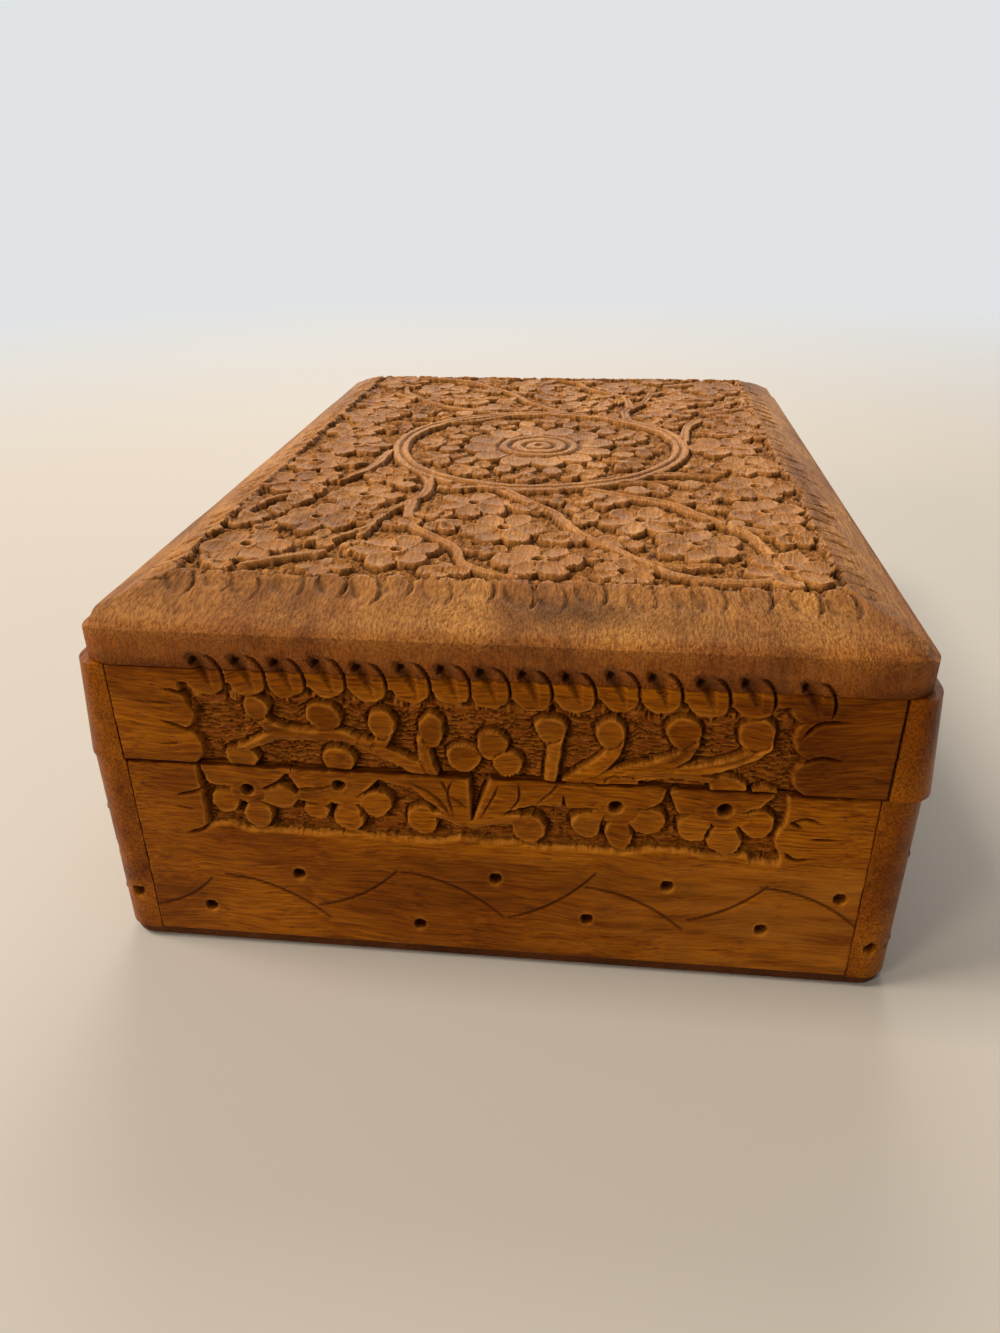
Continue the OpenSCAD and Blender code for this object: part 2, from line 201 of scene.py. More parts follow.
# %% [markdown]
# ## Wood
# The wood is taken to be a stained and waxed rosewood, a coarse hardwood: the eye can't name it for
# sure, but the pores and bands are of that kind. What the eye sees is a strong
# orange brown, darker growth bands a few millimetres apart, short dark pores that run with the
# grain, and a soft wax gloss that turns white towards the light. The chopped ground never met the
# polishing rag: it is darker on the sides, and a raw, fuzzy ochre on the top. The pattern lives in
# three dimensions, so a board's end shows end grain without any extra work.

# %% Stained wood
FIBRE_MM = 0.45     # real fibres are finer; this is the finest that shows in a picture
PORE_MM = 0.3
DRIFT_MM, SPECK_MM = 38, 1.1
GRAIN = {           # each pattern's size along the grain and across it, in mm, its detail and roughness
    "bands": (120, 5.0, 4.0, 0.6), "cloud": (30, 13, 3.0, 0.5), "streak": (17, 0.65, 2.0, 0.5),
    "fibre": (11, FIBRE_MM, 3.0, 0.65), "pores": (3.6, PORE_MM, 1.0, 0.6)}
BUMP_MM, FUZZ_BUMP = 0.18, 5.0


def stained_wood(name, grain_turn, tones, ground_tone, ground_share, gloss, shine, tint, seed, peel=0.0,
                 fleck_mm=(2.6, 0.45), wear_and_highlight_tone="#c47e28"):
    """Stained wood whose grain runs along X turned by grain_turn about Z, in radians. tones are
    (light, middle, dark, pore) and ground_tone is the chopped ground's colour. gloss is the
    roughness, shine the specular level and tint the colour of the wax in head-on reflections."""
    material, tree, shader = new_material(name)
    light, middle, dark, pore = tones
    place = add(tree, "TexCoord", out="Object")
    place = add(tree, "Mapping", {"Vector": place, "Scale": (1 / MM,) * 3, "Rotation": (0, 0, grain_turn),
                                  "Location": (seed * 37.0, seed * 11.0, seed * 5.0)})
    drift = add(tree, "TexNoise", {"Vector": place, "Scale": 1 / DRIFT_MM, "Detail": 2.0,
                                   "Roughness": 0.6}, "Color")
    drift = add(tree, "VectorMath", (drift, (9.0, 9.0, 9.0)), operation="MULTIPLY")
    place = add(tree, "VectorMath", (place, drift), operation="ADD")

    made = {}
    for kind, (along, across, detail, rough) in {**GRAIN, "fleck": (*fleck_mm, 2.0, 0.7)}.items():
        grain = add(tree, "Mapping", {"Vector": place, "Scale": (1 / along, 1 / across, 1 / across)})
        made[kind] = add(tree, "TexNoise", {"Vector": grain, "Scale": 1.0, "Detail": detail,
                                            "Roughness": rough})
    fibre, fleck = made["fibre"], made["fleck"]
    pores = add(tree, "MapRange", (made["pores"], 0.64, 0.73, 0.0, 1.0))
    speck = add(tree, "TexNoise", {"Vector": place, "Scale": 1 / SPECK_MM, "Detail": 4.0, "Roughness": 0.7})
    ground, shade_and_grime, wear_and_highlight, dark_lines_and_shade, outer_darkening = (add(tree, "Attribute", out="Fac", attribute_name=n)
                                           for n in ("ground", "shade_and_grime", "wear_and_highlight", "dark_lines_and_shade", "outer_darkening"))

    # Layers of colour over the middle tone: a pattern from low to high gives a share from least to
    # most of the paint, on the chopped ground only where on_ground says so.
    tone = colour(middle)
    for how, pattern, low, high, least, most, paint, on_ground in (
            ("MIX", made["bands"], 0.40, 0.64, 0.0, 0.75, dark, False),
            ("MIX", made["cloud"], 0.40, 0.66, 0.0, 0.9, light, False),
            ("MIX", made["streak"], 0.56, 0.70, 0.0, 0.6, dark, False),
            ("MULTIPLY", fibre, 0.36, 0.64, 0.75, 0.0, "#99755a", False),
            ("MIX", pores, 0.0, 1.0, 0.0, 0.6, pore, False),
            # Darker and warmer on the top board's outer bevel and upright edge, where that mask is set.
            ("MULTIPLY", outer_darkening, 0.0, 1.0, 0.0, 1.0, "#e0b468", False),
            ("MIX", speck, 0.3, 0.7, ground_share * 0.55, min(1.0, ground_share * 1.35), ground_tone, True),
            # Light flecks and dark pits on the chopped ground: painted highlights on fibre tips and painted
            # shade in pits.
            ("MIX", fleck, 0.55, 0.68, 0.0, 0.6, "#b86f30", True),
            ("MIX", fleck, 0.47, 0.36, 0.0, 0.75, "#2b0f03", True),
            # Painted shade in hollows, cuts and at the foot of walls, with some dirt there too.
            ("MIX", shade_and_grime, 0.0, 1.0, 0.0, 0.88, "#1d0a02", False),
            # Lighter on crests by wear and painted highlights, with painted light on upward walls and ledges.
            ("MIX", wear_and_highlight, 0.0, 1.0, 0.0, 0.62, wear_and_highlight_tone, False),
            # Dark lines: painted shade in knife cuts, holes, notches, stroke drops and along the rim's seam,
            # with dark specks.
            ("MIX", dark_lines_and_shade, 0.05, 0.75, 0.0, 0.8, "#300b02", False)):
        share = add(tree, "MapRange", (pattern, low, high, least, most))
        if on_ground:
            share = add(tree, "Math", (ground, share), operation="MULTIPLY")
        tone = add(tree, "Mix", {0: share, 6: tone, 7: colour(paint)}, 2, data_type="RGBA", blend_type=how)
    tree.links.new(tone, shader.inputs["Base Color"])
    shader.inputs["Specular IOR Level"].default_value = shine
    shader.inputs["Specular Tint"].default_value = colour(tint)

    dull = add(tree, "Math", (ground, 0.22), operation="MULTIPLY")
    rough = add(tree, "MapRange", (speck, 0.2, 0.8, gloss - 0.07, gloss + 0.12))
    rough = add(tree, "Math", (rough, dull), operation="ADD", use_clamp=True)
    tree.links.new(rough, shader.inputs["Roughness"])

    fuzz = add(tree, "Math", (fleck, ground), operation="MULTIPLY")
    height = add(tree, "Math", (fibre, pores), operation="SUBTRACT")
    height = add(tree, "Math", (fuzz, FUZZ_BUMP, height), operation="MULTIPLY_ADD")
    brushed = add(tree, "Mapping", {"Vector": place, "Scale": (1 / 0.6, 1 / 0.3, 1 / 2.6),
                                    "Rotation": (0, 0, 0.6)})
    brushed = add(tree, "TexNoise", {"Vector": brushed, "Scale": 1.0, "Detail": 2.0, "Roughness": 0.6})
    height = add(tree, "Math", (brushed, peel, height), operation="MULTIPLY_ADD")
    bump = add(tree, "Bump", {"Height": height, "Distance": BUMP_MM * MM, "Strength": 0.6})
    tree.links.new(bump, shader.inputs["Normal"])
    return material


QUARTER = math.pi / 2
SIDE_TONES = ("#ab650c", "#8c4b07", "#592b03", "#2a0e01")
SIDE_FINISH = ("#7c3f14", 0.8, 0.34, 0.14, "#ff9c4a")
LID_FINISH = ("#783c13", 0.88, 0.34, 0.14, "#ff9c4a")
end_wood = stained_wood("waxed_rosewood_end_boards", 0.0, SIDE_TONES, *SIDE_FINISH, 1)
side_wood = stained_wood("waxed_rosewood_side_boards", QUARTER, SIDE_TONES, *SIDE_FINISH, 2)
lid_end_wood = stained_wood("waxed_rosewood_lid_ends", 0.0, SIDE_TONES, *LID_FINISH, 3)
lid_side_wood = stained_wood("waxed_rosewood_lid_sides", QUARTER, SIDE_TONES, *LID_FINISH, 4)
TOP_TONES = ("#c48c48", "#a8713a", "#724722", "#3a2312")
top_wood = stained_wood("worn_rosewood_top_board", QUARTER, TOP_TONES, "#8f5c22", 0.75, 0.58, 0.15,
                        "#ffdcb8", 5, peel=2.2, fleck_mm=(0.9, 0.45), wear_and_highlight_tone="#cf9050")
BOTTOM_TONES = ("#5f3414", "#4d280e", "#321808", "#1d0d04")
bottom_wood = stained_wood("dark_stained_bottom_board", QUARTER, BOTTOM_TONES, "#321808", 0.3, 0.55, 0.3,
                           "#ff9c4a", 6)
print("wood materials:", len([m for m in bpy.data.materials if "wood" in m.name]))

# %% [markdown]
# ## Carving on paper
# A carver pencils the pattern, chops the ground down round it, then shapes each petal. This does the
# same on a flat grid in millimetres. Each cell keeps its distance to the nearest raised shape, how
# far that shape is dished, and how deep any knife cut goes. Raised shapes stay at the old surface.

# %% Small tools for the drawing


def smooth(t):
    """The smooth step: t squared times (3 - 2 t), for t held between 0 and 1."""
    t = np.clip(t, 0, 1)
    return t * t * (3 - 2 * t)


def cloudy(u, v, seed):
    """Noise from 0 to 1: a random number at each whole step, blended smoothly between."""
    table = np.random.default_rng(seed).random((128, 128))
    iu, iv = np.floor(u).astype(int), np.floor(v).astype(int)
    fu, fv = smooth(u - iu), smooth(v - iv)
    low = table[iu % 128, iv % 128] * (1 - fu) + table[(iu + 1) % 128, iv % 128] * fu
    high = table[iu % 128, (iv + 1) % 128] * (1 - fu) + table[(iu + 1) % 128, (iv + 1) % 128] * fu
    return low * (1 - fv) + high * fv


def curve_through(points, per_span=6):
    """A smooth line through the points: on each span, the Catmull-Rom cubic of four neighbours."""
    p = np.asarray(points, float)
    p = np.vstack([2 * p[0] - p[1], p, 2 * p[-1] - p[-2]])
    t = np.linspace(0, 1, per_span, endpoint=False)[:, None]
    a, b, c, d = p[:-3, None], p[1:-2, None], p[2:-1, None], p[3:, None]
    spans = 0.5 * (2 * b + (c - a) * t + (2 * a - 5 * b + 4 * c - d) * t**2 + (3 * b - a - 3 * c + d) * t**3)
    return np.vstack([spans.reshape(-1, 2), p[-2]])


def bowed(start, end, bow):
    """Points from start to end on an arc whose middle stands bow to the left of the chord."""
    a, b = np.array(start, float), np.array(end, float)
    t = np.linspace(0, 1, 9)[:, None]
    left = np.array([a[1] - b[1], b[0] - a[0]]) / np.linalg.norm(b - a)
    return a + (b - a) * t + left * bow * 4 * t * (1 - t)


def to_line(u, v, line):
    """For each cell: distance to the line, share of the way along it, and the side it lies on."""
    a, b = line[:-1], line[1:]
    step = b - a
    du, dv = u[..., None] - a[:, 0], v[..., None] - a[:, 1]
    t = np.clip((du * step[:, 0] + dv * step[:, 1]) / (step**2).sum(1), 0, 1)
    away = np.hypot(du - t * step[:, 0], dv - t * step[:, 1])
    nearest = away.argmin(-1)[..., None]
    along = (np.take_along_axis(t, nearest, -1) + nearest) / len(a)
    side = np.sign(np.take_along_axis(step[:, 0] * dv - step[:, 1] * du, nearest, -1))
    return np.take_along_axis(away, nearest, -1)[..., 0], along[..., 0], side[..., 0]


print("a bowed line's middle:", bowed((0, 0), (10, 0), 2)[4])

# %% [markdown]
# The drawing sheet knows a few strokes: a rounded lobe for berries and petals, a vine along a curve,
# a knife cut, a drilled hole. Each works only on the cells near it. Where a new shape lies over an
# older one, a fine cut runs round it, as a carver parts one petal from the next.

# %% The drawing sheet


class Sheet:
    """A grid of cells at us by vs, in mm, that collects shapes and cuts."""

    def __init__(self, us, vs, seed, unsteady=1.0):
        self.us, self.vs = us, vs
        self.u, self.v = np.meshgrid(us, vs, indexing="ij")
        self.edge = np.full(self.u.shape, 9.0)
        self.dish, self.cut, self.into, self.line, self.shade = (np.zeros(self.u.shape) for _ in range(5))
        self.raw_and_highlight = np.zeros(self.u.shape)
        self.random = np.random.default_rng(seed)
        self.wander = unsteady * (0.35 * cloudy(self.u / 0.9 + 11, self.v / 0.9 + 11, seed + 50)
                                  + 0.55 * cloudy(self.u / 3.1 + 31, self.v / 3.1 + 31, seed + 51) - 0.45)

    def near(self, points, reach):
        """The window of cells within reach of the points."""
        low, high = np.min(points, 0) - reach, np.max(points, 0) + reach
        iu, iv = np.searchsorted(self.us, (low[0], high[0])), np.searchsorted(self.vs, (low[1], high[1]))
        return slice(*iu), slice(*iv)

    def raise_shape(self, window, away, dish, merge=False, unsteady=1.0):
        """Adds a shape, where away is below 0, with the unsteady outline of hand work. Unless it
        should merge, a fine cut parts it from what it covers."""
        away = away + unsteady * self.wander[window]
        if not merge:
            covered = (self.edge[window] < -0.3) & (away < 0.4)
            parting = 0.45 * np.exp(-((away / 0.2) ** 2)) * covered
            self.cut[window] = np.maximum(self.cut[window] * (away > -0.2), parting)
        self.dish[window] = np.where(away < 0, dish, self.dish[window])
        self.shade[window] = np.where(away < 0, self.random.random(), self.shade[window])
        self.edge[window] = np.minimum(self.edge[window], away)

    def lobe(self, u, v, long, wide, turn=0.0, cup=0.0, tilt=0.3, merge=False):
        """An egg with half-lengths long and wide, cut flat and a little tilted. cup hollows its
        middle. Distance is k0 (k0 - 1) / k1 of the ellipse's rule."""
        window = self.near([(u, v)], max(long, wide) + 2.5)
        du, dv = self.u[window] - u, self.v[window] - v
        x = du * math.cos(turn) + dv * math.sin(turn)
        y = dv * math.cos(turn) - du * math.sin(turn)
        broad = wide * (1 + 0.12 * np.clip(x / long, -1, 1))
        k0 = np.hypot(x / long, y / broad)
        k1 = np.hypot(x / long**2, y / broad**2) + 1e-6
        away = np.where(k0 < 0.05, -min(long, wide), k0 * (k0 - 1) / k1)
        lean = 2 * math.pi * self.random.random()
        slope = (x / long * math.cos(lean) + y / wide * math.sin(lean)) / 2
        dish = cup * np.clip(1 - (k0 / 0.85) ** 2, 0, 1) ** 0.7 + tilt * (0.5 + np.clip(slope, -0.5, 0.5))
        self.raise_shape(window, away, dish, merge)

    def vine(self, points, thick, thin=None, groove=0.0, facet=0.3, merge=False):
        """A flat stem whose half-width goes from thick to thin. It may have a groove between two
        strands, and its right side, seen along it, is pared down by facet."""
        line = curve_through(points)
        thin = thick if thin is None else thin
        window = self.near(line, thick + 2)
        away, along, side = to_line(self.u[window], self.v[window], line)
        half = thick + (thin - thick) * along
        dish = groove * np.exp(-((away / 0.36) ** 2)) + facet * np.clip(-side * away / half, 0, 1)
        self.raise_shape(window, away - half, dish, merge, unsteady=0.6)

    def stand_above(self, line):
        """Leaves all the wood above a line that runs from left to right."""
        away, _, side = to_line(self.u, self.v, np.asarray(line, float))
        self.raise_shape((slice(None), slice(None)), -away * side, 0.05, merge=True)

    def clear(self, corners):
        """Chops a convex field, its corners anticlockwise, down to the ground again."""
        inside = np.full(self.u.shape, 9.0)
        for (a, b), (c, d) in zip(corners, corners[1:] + corners[:1]):
            across = (c - a) * (self.v - b) - (d - b) * (self.u - a)
            inside = np.minimum(inside, across / math.hypot(c - a, d - b))
        self.edge = np.maximum(self.edge, inside)

    def knife(self, points, width, deep, lean=0.6, mark=0.0, fade=False, smooth_line=True):
        """A V cut of full width in the middle and thin at its ends, or with fade from wide to thin.
        The side named by lean's sign is the gentle one: (1 + |lean|) times as wide. mark paints
        the line of the cut dark, as painted shade in it."""
        line = curve_through(points) if smooth_line else np.asarray(points, float)
        window = self.near(line, 2 * width + 1)
        away, along, side = to_line(self.u[window], self.v[window], line)
        bulge = np.sin(np.pi * np.clip(along, 0.02, 0.98)) * 1.5
        taper = np.clip(1.15 - along if fade else bulge, 0.15, 1)
        wide = width * taper * np.where(side * lean > 0, 1 + abs(lean), 1 - 0.5 * abs(lean))
        cut = deep * taper * np.clip(1 - away / np.maximum(wide, 0.05), 0, 1)
        self.cut[window] = np.maximum(self.cut[window], cut)
        self.line[window] = np.maximum(self.line[window], mark * np.clip(1 - away / 0.42, 0, 1))

    def hole(self, u, v, radius, deep):
        """A drilled or punched hole with a slightly crushed rim, and painted shade inside it."""
        window = self.near([(u, v)], radius + 1)
        away = np.hypot(self.u[window] - u, self.v[window] - v)
        cut = deep * smooth((radius - away) / (0.45 * radius) + 0.35)
        self.cut[window] = np.maximum(self.cut[window], cut)
        self.line[window] = np.maximum(self.line[window], 1.2 * smooth((radius - away) / 0.5 + 0.2))

    def flower(self, u, v, reach, turn=0.0, petals=None, cup=0.4, drill=1.05, tilt=0.6):
        """Petals round a drilled centre. petals lists their directions in degrees, or is None for six."""
        angles = np.radians(petals if petals is not None else 60.0 * np.arange(6)) + turn
        share = self.random.random((len(angles), 3))
        for angle, (a, b, c) in zip(angles, share):
            angle = angle + 0.2 * (a - 0.5)
            long, far = reach * (0.39 + 0.05 * b), reach * (0.58 + 0.05 * c)
            middle = (u + far * math.cos(angle), v + far * math.sin(angle))
            self.lobe(*middle, long, reach * 0.325, angle, cup, tilt)
        self.lobe(u, v, reach * 0.24, reach * 0.24, merge=True, tilt=0.1)
        if drill:
            self.hole(u, v, drill, 1.7)

    def depth(self, ground, wall=0.4, strokes=0.0, grain=0.0):
        """How far each cell is cut in. On a shape: its dish, and a worn rim. Off it: down a steep
        wall to the ground, deepest in the stop cut at the wall's foot, with the gouge's strokes."""
        off = smooth(self.edge / wall)
        floor = ground * self.into
        rim = 0.08 * np.clip(1 + self.edge / 0.3, 0, 1) ** 2 * smooth(2 * self.into)
        rim = rim + grain * cloudy(self.u / 2.2 + 40, self.v / 0.5 + 40, 92) * smooth(2 * self.into)
        foot = 0.5 * np.exp(-(((self.edge - 0.45) / 0.3) ** 2))
        low = floor + (strokes + foot) * smooth(floor / 0.8)
        self.ground = off * smooth(floor / 0.9)
        self.deep = np.maximum((self.dish + rim) * (1 - off) + low * off, 0) + self.cut
        return self.deep

    def blurred(self, values, spread):
        """The values averaged over about spread mm, by passes of the weights 1, 2, 1."""
        for axis, steps in ((0, self.us), (1, self.vs)):
            times = int(np.clip(2 * (spread / np.median(np.diff(steps))) ** 2, 1, 60))
            for _ in range(times):
                padded = np.pad(values, [(1, 1) if a == axis else (0, 0) for a in (0, 1)], mode="edge")
                values = (np.take(padded, range(0, values.shape[axis]), axis) + 2 * values
                          + np.take(padded, range(2, values.shape[axis] + 2), axis)) / 4
        return values

    def tones(self, spread=1.1, upward_light_share=1.0):
        """Shares for the material. A cell gets painted shade, with some dirt, by how much deeper it lies
        than its neighbourhood, and more in cuts and at a wall's foot. It is lighter, by wear and a painted
        highlight, where it stands out over half a millimetre. Walls that face up v get painted light, as
        if lit from above, by the second argument's share."""
        hollow = self.deep - self.blurred(self.deep, spread)
        crest = self.blurred(self.deep, 0.45) - self.deep
        wall = np.exp(-(((self.edge - 0.4) / 0.35) ** 2)) * smooth(2 * self.into)
        patches = cloudy(self.u / 1.3 + 3, self.v / 1.3 + 3, 91)
        raised = (self.edge < -0.1) * smooth(2 * self.into)
        # Painted light: walls that face up v are made lighter, as if lit from above, and lose most painted
        # shade.
        upward_light = upward_light_share * np.clip(np.gradient(self.deep, self.vs, axis=1), 0, 1) * smooth(2 * self.into)
        wear_and_highlight = np.clip(crest * 2.2 - 0.08, 0, 1) * (0.2 + 0.8 * patches)
        wear_and_highlight = wear_and_highlight + 0.25 * raised * self.shade + self.raw_and_highlight + 0.35 * upward_light * patches
        shade_and_grime = np.clip(hollow * 0.9 + self.cut * 0.5 + 0.4 * wall, 0, 1) * (1 - 0.7 * upward_light)
        return {"ground": self.ground, "shade_and_grime": shade_and_grime,
                "wear_and_highlight": np.clip(wear_and_highlight, 0, 1), "dark_lines_and_shade": np.clip(self.line, 0, 1)}

# %% [markdown]
# ## The end boards' pattern
# On the lid's band, a row of slanting beads hangs from the seam, and below it stems curl up from the
# rim, each with a round head. On the tray's band, six-petalled flowers stand on both sides of a
# pair of leaves, cut off by the rim. Under it a compass has scratched a wave, with punched dots.

# %% Motifs of the lid's band
BEAD_PITCH = 7.2
NEAR_BEADS = (-50.1, -42.6, -35.7, -28.5, -21.4, -13.8, -6.9, -0.2, 6.9, 14.2, 21.5, 28.4, 36.2, 43.4,
              53.0)
LID_HEADS = (
    (-41.7, 55.2, 2.2, 2.5), (-29.5, 54.2, 2.9, 2.7), (-19.3, 53.2, 2.4, 2.8), (-10.5, 52.5, 2.1, 3.3),
    (0.2, 50.2, 2.5, 2.8), (-4.9, 47.3, 2.8, 2.6), (2.9, 46.4, 2.4, 2.4), (10.3, 53.7, 2.6, 2.4),
    (20.5, 53.7, 2.4, 3.0), (32.7, 54.4, 2.7, 3.0), (44.8, 54.7, 2.9, 3.1), (-45.3, 44.8, 2.9, 2.2),
    (-27.5, 45.2, 2.9, 2.7), (22.7, 43.6, 2.8, 1.6), (41.0, 43.9, 2.9, 2.1), (47.4, 43.3, 2.0, 1.0))
LID_STEMS = (
    ([(-41.5, 53.5), (-38.5, 51.4), (-34, 50.3), (-28.5, 50.5), (-25.5, 50.2), (-22.0, 48.6)], 1.05, 0.9, 0),
    ([(-45.8, 46.4), (-42.2, 48.2), (-38.5, 49.9), (-35, 50.2)], 0.5, 1.0, 0),
    ([(-22.6, 49.2), (-16.5, 46.3), (-11.0, 43.2)], 1.15, 1.25, 0),
    ([(-18.8, 51.5), (-19.6, 49.6), (-20.6, 48.4)], 1.2, 1.0, 0),
    ([(-12.2, 50.3), (-11.7, 47), (-10.7, 43.2)], 1.0, 1.0, 0),
    ([(11.1, 52.0), (10.9, 48), (10.2, 43.2)], 1.25, 1.05, 0),
    ([(21.7, 52.2), (20.8, 49.5), (18.2, 46.5), (13.6, 43.0)], 1.15, 1.25, 0),
    ([(34.4, 52.4), (32.5, 49.6), (28.5, 47.4), (23, 45.9), (17.0, 43.2)], 1.05, 1.2, 0.2),
    ([(46.4, 52.6), (43.5, 50.1), (38.5, 48.1), (31.5, 46.5), (25, 45.5)], 0.95, 0.9, 0.3),
    ([(24, 45.6), (31, 46.2), (39, 45.2)], 0.9, 0.5, 0),
)
LID_END_LOBES = ((-1, -1.4, 54.2, 3.7), (-1, -1.4, 46.9, 3.9), (1, 0.9, 54.8, 4.2), (1, 1.4, 47.2, 4.0))
LID_END_CUTS = (
    (-1, [(-3.0, 58.9), (0.9, 57.6), (2.4, 54)]), (-1, [(-4.1, 52.2), (-1.1, 51.2), (1.9, 49.7)]),
    (-1, [(-6.0, 56.0), (-1.5, 55.8)]), (-1, [(-5.2, 47.3), (-1.2, 47.6)]),
    (1, [(5.7, 58.3), (0.3, 57.8), (-2.4, 54.5)]), (1, [(5.4, 50.8), (1.2, 51.2), (-2, 49.6)]),
)


def bead_rows(middles, seed):
    """The middle, height and twist of each bead, so that both boards can draw the same beads."""
    random = np.random.default_rng(seed)
    return np.column_stack([middles, random.random((len(middles), 2)) - 0.5])


def draw_beads(sheet, beads):
    """Slanting beads across the seam. A crescent stop cut bounds each on its upper right. A broad V
    runs down its face from a deep pit at its upper left."""
    for middle, high, twist in beads:
        u, v = middle, SEAM + 0.7 * high
        sheet.lobe(u + 0.2, v - 0.9, 4.1, 3.65, math.radians(-72 + 20 * twist), tilt=0.0)
        sheet.knife([(u - 1.0, v + 1.6), (u + 0.1, v - 0.8), (u + 1.3, v - 3.9)], 1.6, 1.15, 0.35, fade=True)
        sheet.knife([(u - 1.7, v + 2.3), (u - 1.4, v + 1.2), (u - 0.9, v + 0.2)], 0.8, 1.2, -0.4,
                    mark=0.5, fade=True)
        sheet.hole(u - 1.5, v + 1.5, 0.65, 1.7)
        sheet.knife([(u + 0.2, v + 2.9), (u + 2.0, v + 2.2), (u + 3.3, v + 0.2), (u + 3.7, v - 2.4),
                     (u + 3.0, v - 4.2)], 0.3, 1.15, -0.5, mark=0.6)


def draw_lid_band(sheet, shift=0.0, stretch=1.0):
    """The stems and heads of the lid's band, moved by shift and stretched along u."""
    for points, thick, thin, groove in LID_STEMS:
        sheet.vine([(shift + u * stretch, v) for u, v in points], thick, thin, groove, merge=True)
    for u, v, wide, high in LID_HEADS:
        sheet.lobe(shift + u * stretch, v, high, wide * (0.3 + 0.7 * stretch), QUARTER, cup=0.1, tilt=0.4)


def field_share(sheet, left, right, lobes, wall=0.6):
    """1 inside a chopped field, 0 outside. Round lobes of wood stand into its two ends: each is
    (which end, place from it, height, radius)."""
    inside = np.minimum(sheet.u - left, right - sheet.u)
    for end, du, v, radius in lobes:
        middle = (left if end < 0 else right) + du
        inside = np.minimum(inside, np.hypot(sheet.u - middle, sheet.v - v) - radius)
    return smooth((inside + 0.5 * sheet.wander + 0.1) / wall)


def end_cuts(sheet, left, right, cuts):
    """The curved cuts that shape the lobes at a field's ends."""
    for end, points in cuts:
        start = left if end < 0 else right
        width = 0.45 if len(points) > 2 else 0.25
        sheet.knife([(start + du, v) for du, v in points], width, 2.2 * width, 0.4 * end, mark=0.4)


print("stems on the lid's band:", len(LID_STEMS))

# %% Motifs of the tray's band and its scribed wave
TRAY_PETALS = (
    (-49.6, 34.9, 2.6, 2.5), (-43.9, 32.2, 2.6, 2.9), (-39.5, 36.4, 3.7, 2.0), (-45.1, 37.3, 3.3, 2.6),
    (-32.3, 36.7, 3.3, 2.0), (-32.4, 33.9, 2.5, 1.7), (-26.3, 32.8, 2.8, 3.0), (-21.1, 36.0, 2.9, 2.7),
    (-27.0, 38.0, 4.0, 2.6), (17.4, 34.1, 2.9, 2.6), (23.2, 32.5, 2.4, 3.3), (27.9, 35.6, 3.3, 2.7),
    (22.6, 37.6, 4.0, 2.6), (36.5, 34.7, 2.9, 2.7), (41.9, 32.5, 3.0, 3.2), (47.3, 36.4, 2.9, 2.8),
    (41.5, 38.0, 4.0, 2.8), (-12.6, 33.0, 2.8, 3.0), (7.2, 32.4, 3.0, 3.0))
TRAY_STRIP = (
    (-53.4, 44.0), (-53.2, 41.5), (-52.3, 38.6), (-48.5, 38.2), (-42.0, 38.3), (-39.2, 39.8), (-37.0, 42.0),
    (-35.9, 40.4), (-35.2, 38.5), (-28.0, 39.0), (-24.4, 37.8), (-21.8, 39.4), (-19.6, 41.1), (-13.8, 39.8),
    (-9.8, 36.0), (-6.7, 33.4), (-3.4, 32.0), (1.6, 35.3), (4.0, 36.6), (7.5, 37.9), (13.0, 38.2),
    (15.0, 37.3), (20.5, 38.0), (28.2, 38.5), (30.6, 39.8), (31.7, 42.4), (32.4, 40.4), (33.8, 37.6),
    (37.0, 37.7), (44.7, 38.8), (47.8, 39.7), (49.0, 41.2), (50.4, 44.0))
TRAY_GAP = [(-3.5, 32.3), (0.6, 44.0), (-3.8, 44.0)]
TRAY_DRILLS = ((-45.1, 37.6, 1.2), (-27.7, 39.7, 1.15), (22.5, 38.4, 1.25), (41.5, 39.0, 1.35))
TRAY_NICKS = (
    [(-52.8, 37.6), (-50.5, 38.1), (-48.3, 38.1)], [(-37.2, 41.2), (-39.2, 39.6), (-41.8, 38.3)],
    [(-47.3, 32.6), (-46.8, 33.8), (-46.4, 35.2)], [(-40.8, 33.9), (-41.8, 34.6), (-42.6, 35.0)],
    [(-34.8, 38.3), (-31, 38.9), (-28.8, 39.6)], [(-20, 41.0), (-21.8, 39.3), (-24.4, 37.4)],
    [(-35.2, 35.3), (-33.4, 35.2), (-31.6, 35.4)], [(-29.7, 33.0), (-29.4, 34.4), (-29.0, 36.0)],
    [(-23.7, 33.4), (-23.6, 34.4), (-23.4, 35.4)], [(13.3, 37.8), (13.3, 39.0), (13.2, 40.2)],
    [(20.1, 31.6), (20.2, 34.2), (20.6, 36.4)], [(25.9, 32.9), (25.4, 34.0), (24.9, 35.0)],
    [(31.6, 42.4), (30.6, 39.7), (28.0, 38.4)], [(14.6, 37.2), (17.5, 37.6), (20.3, 38.0)],
    [(33.8, 37.3), (35.4, 37.7), (37.0, 37.7)], [(38.9, 33.0), (39.1, 34.2), (39.5, 35.6)],
    [(45.1, 33.4), (44.5, 34.2), (43.8, 35.0)], [(49.2, 41.4), (47.6, 39.6), (44.5, 38.6)])
TRAY_VEINS = (
    [(-6.7, 42.2), (-7.6, 39.3), (-6.7, 34.4)], [(-7.3, 38.7), (-5.8, 37.6), (-4.2, 36.3)],
    [(-9.6, 38.6), (-8.4, 36.6), (-7.3, 34.4)], [(-14.5, 41.4), (-10.2, 38.6), (-7.4, 34.4)],
    [(5.2, 42.3), (5.2, 38.8), (3.5, 36.2)], [(12.4, 43.0), (11, 40.8), (8.6, 38.4)],
    [(1.6, 41.6), (0.4, 38.5), (-1.6, 34.5)], [(-8.8, 42.0), (-8.2, 40.8), (-7.6, 39.5)])
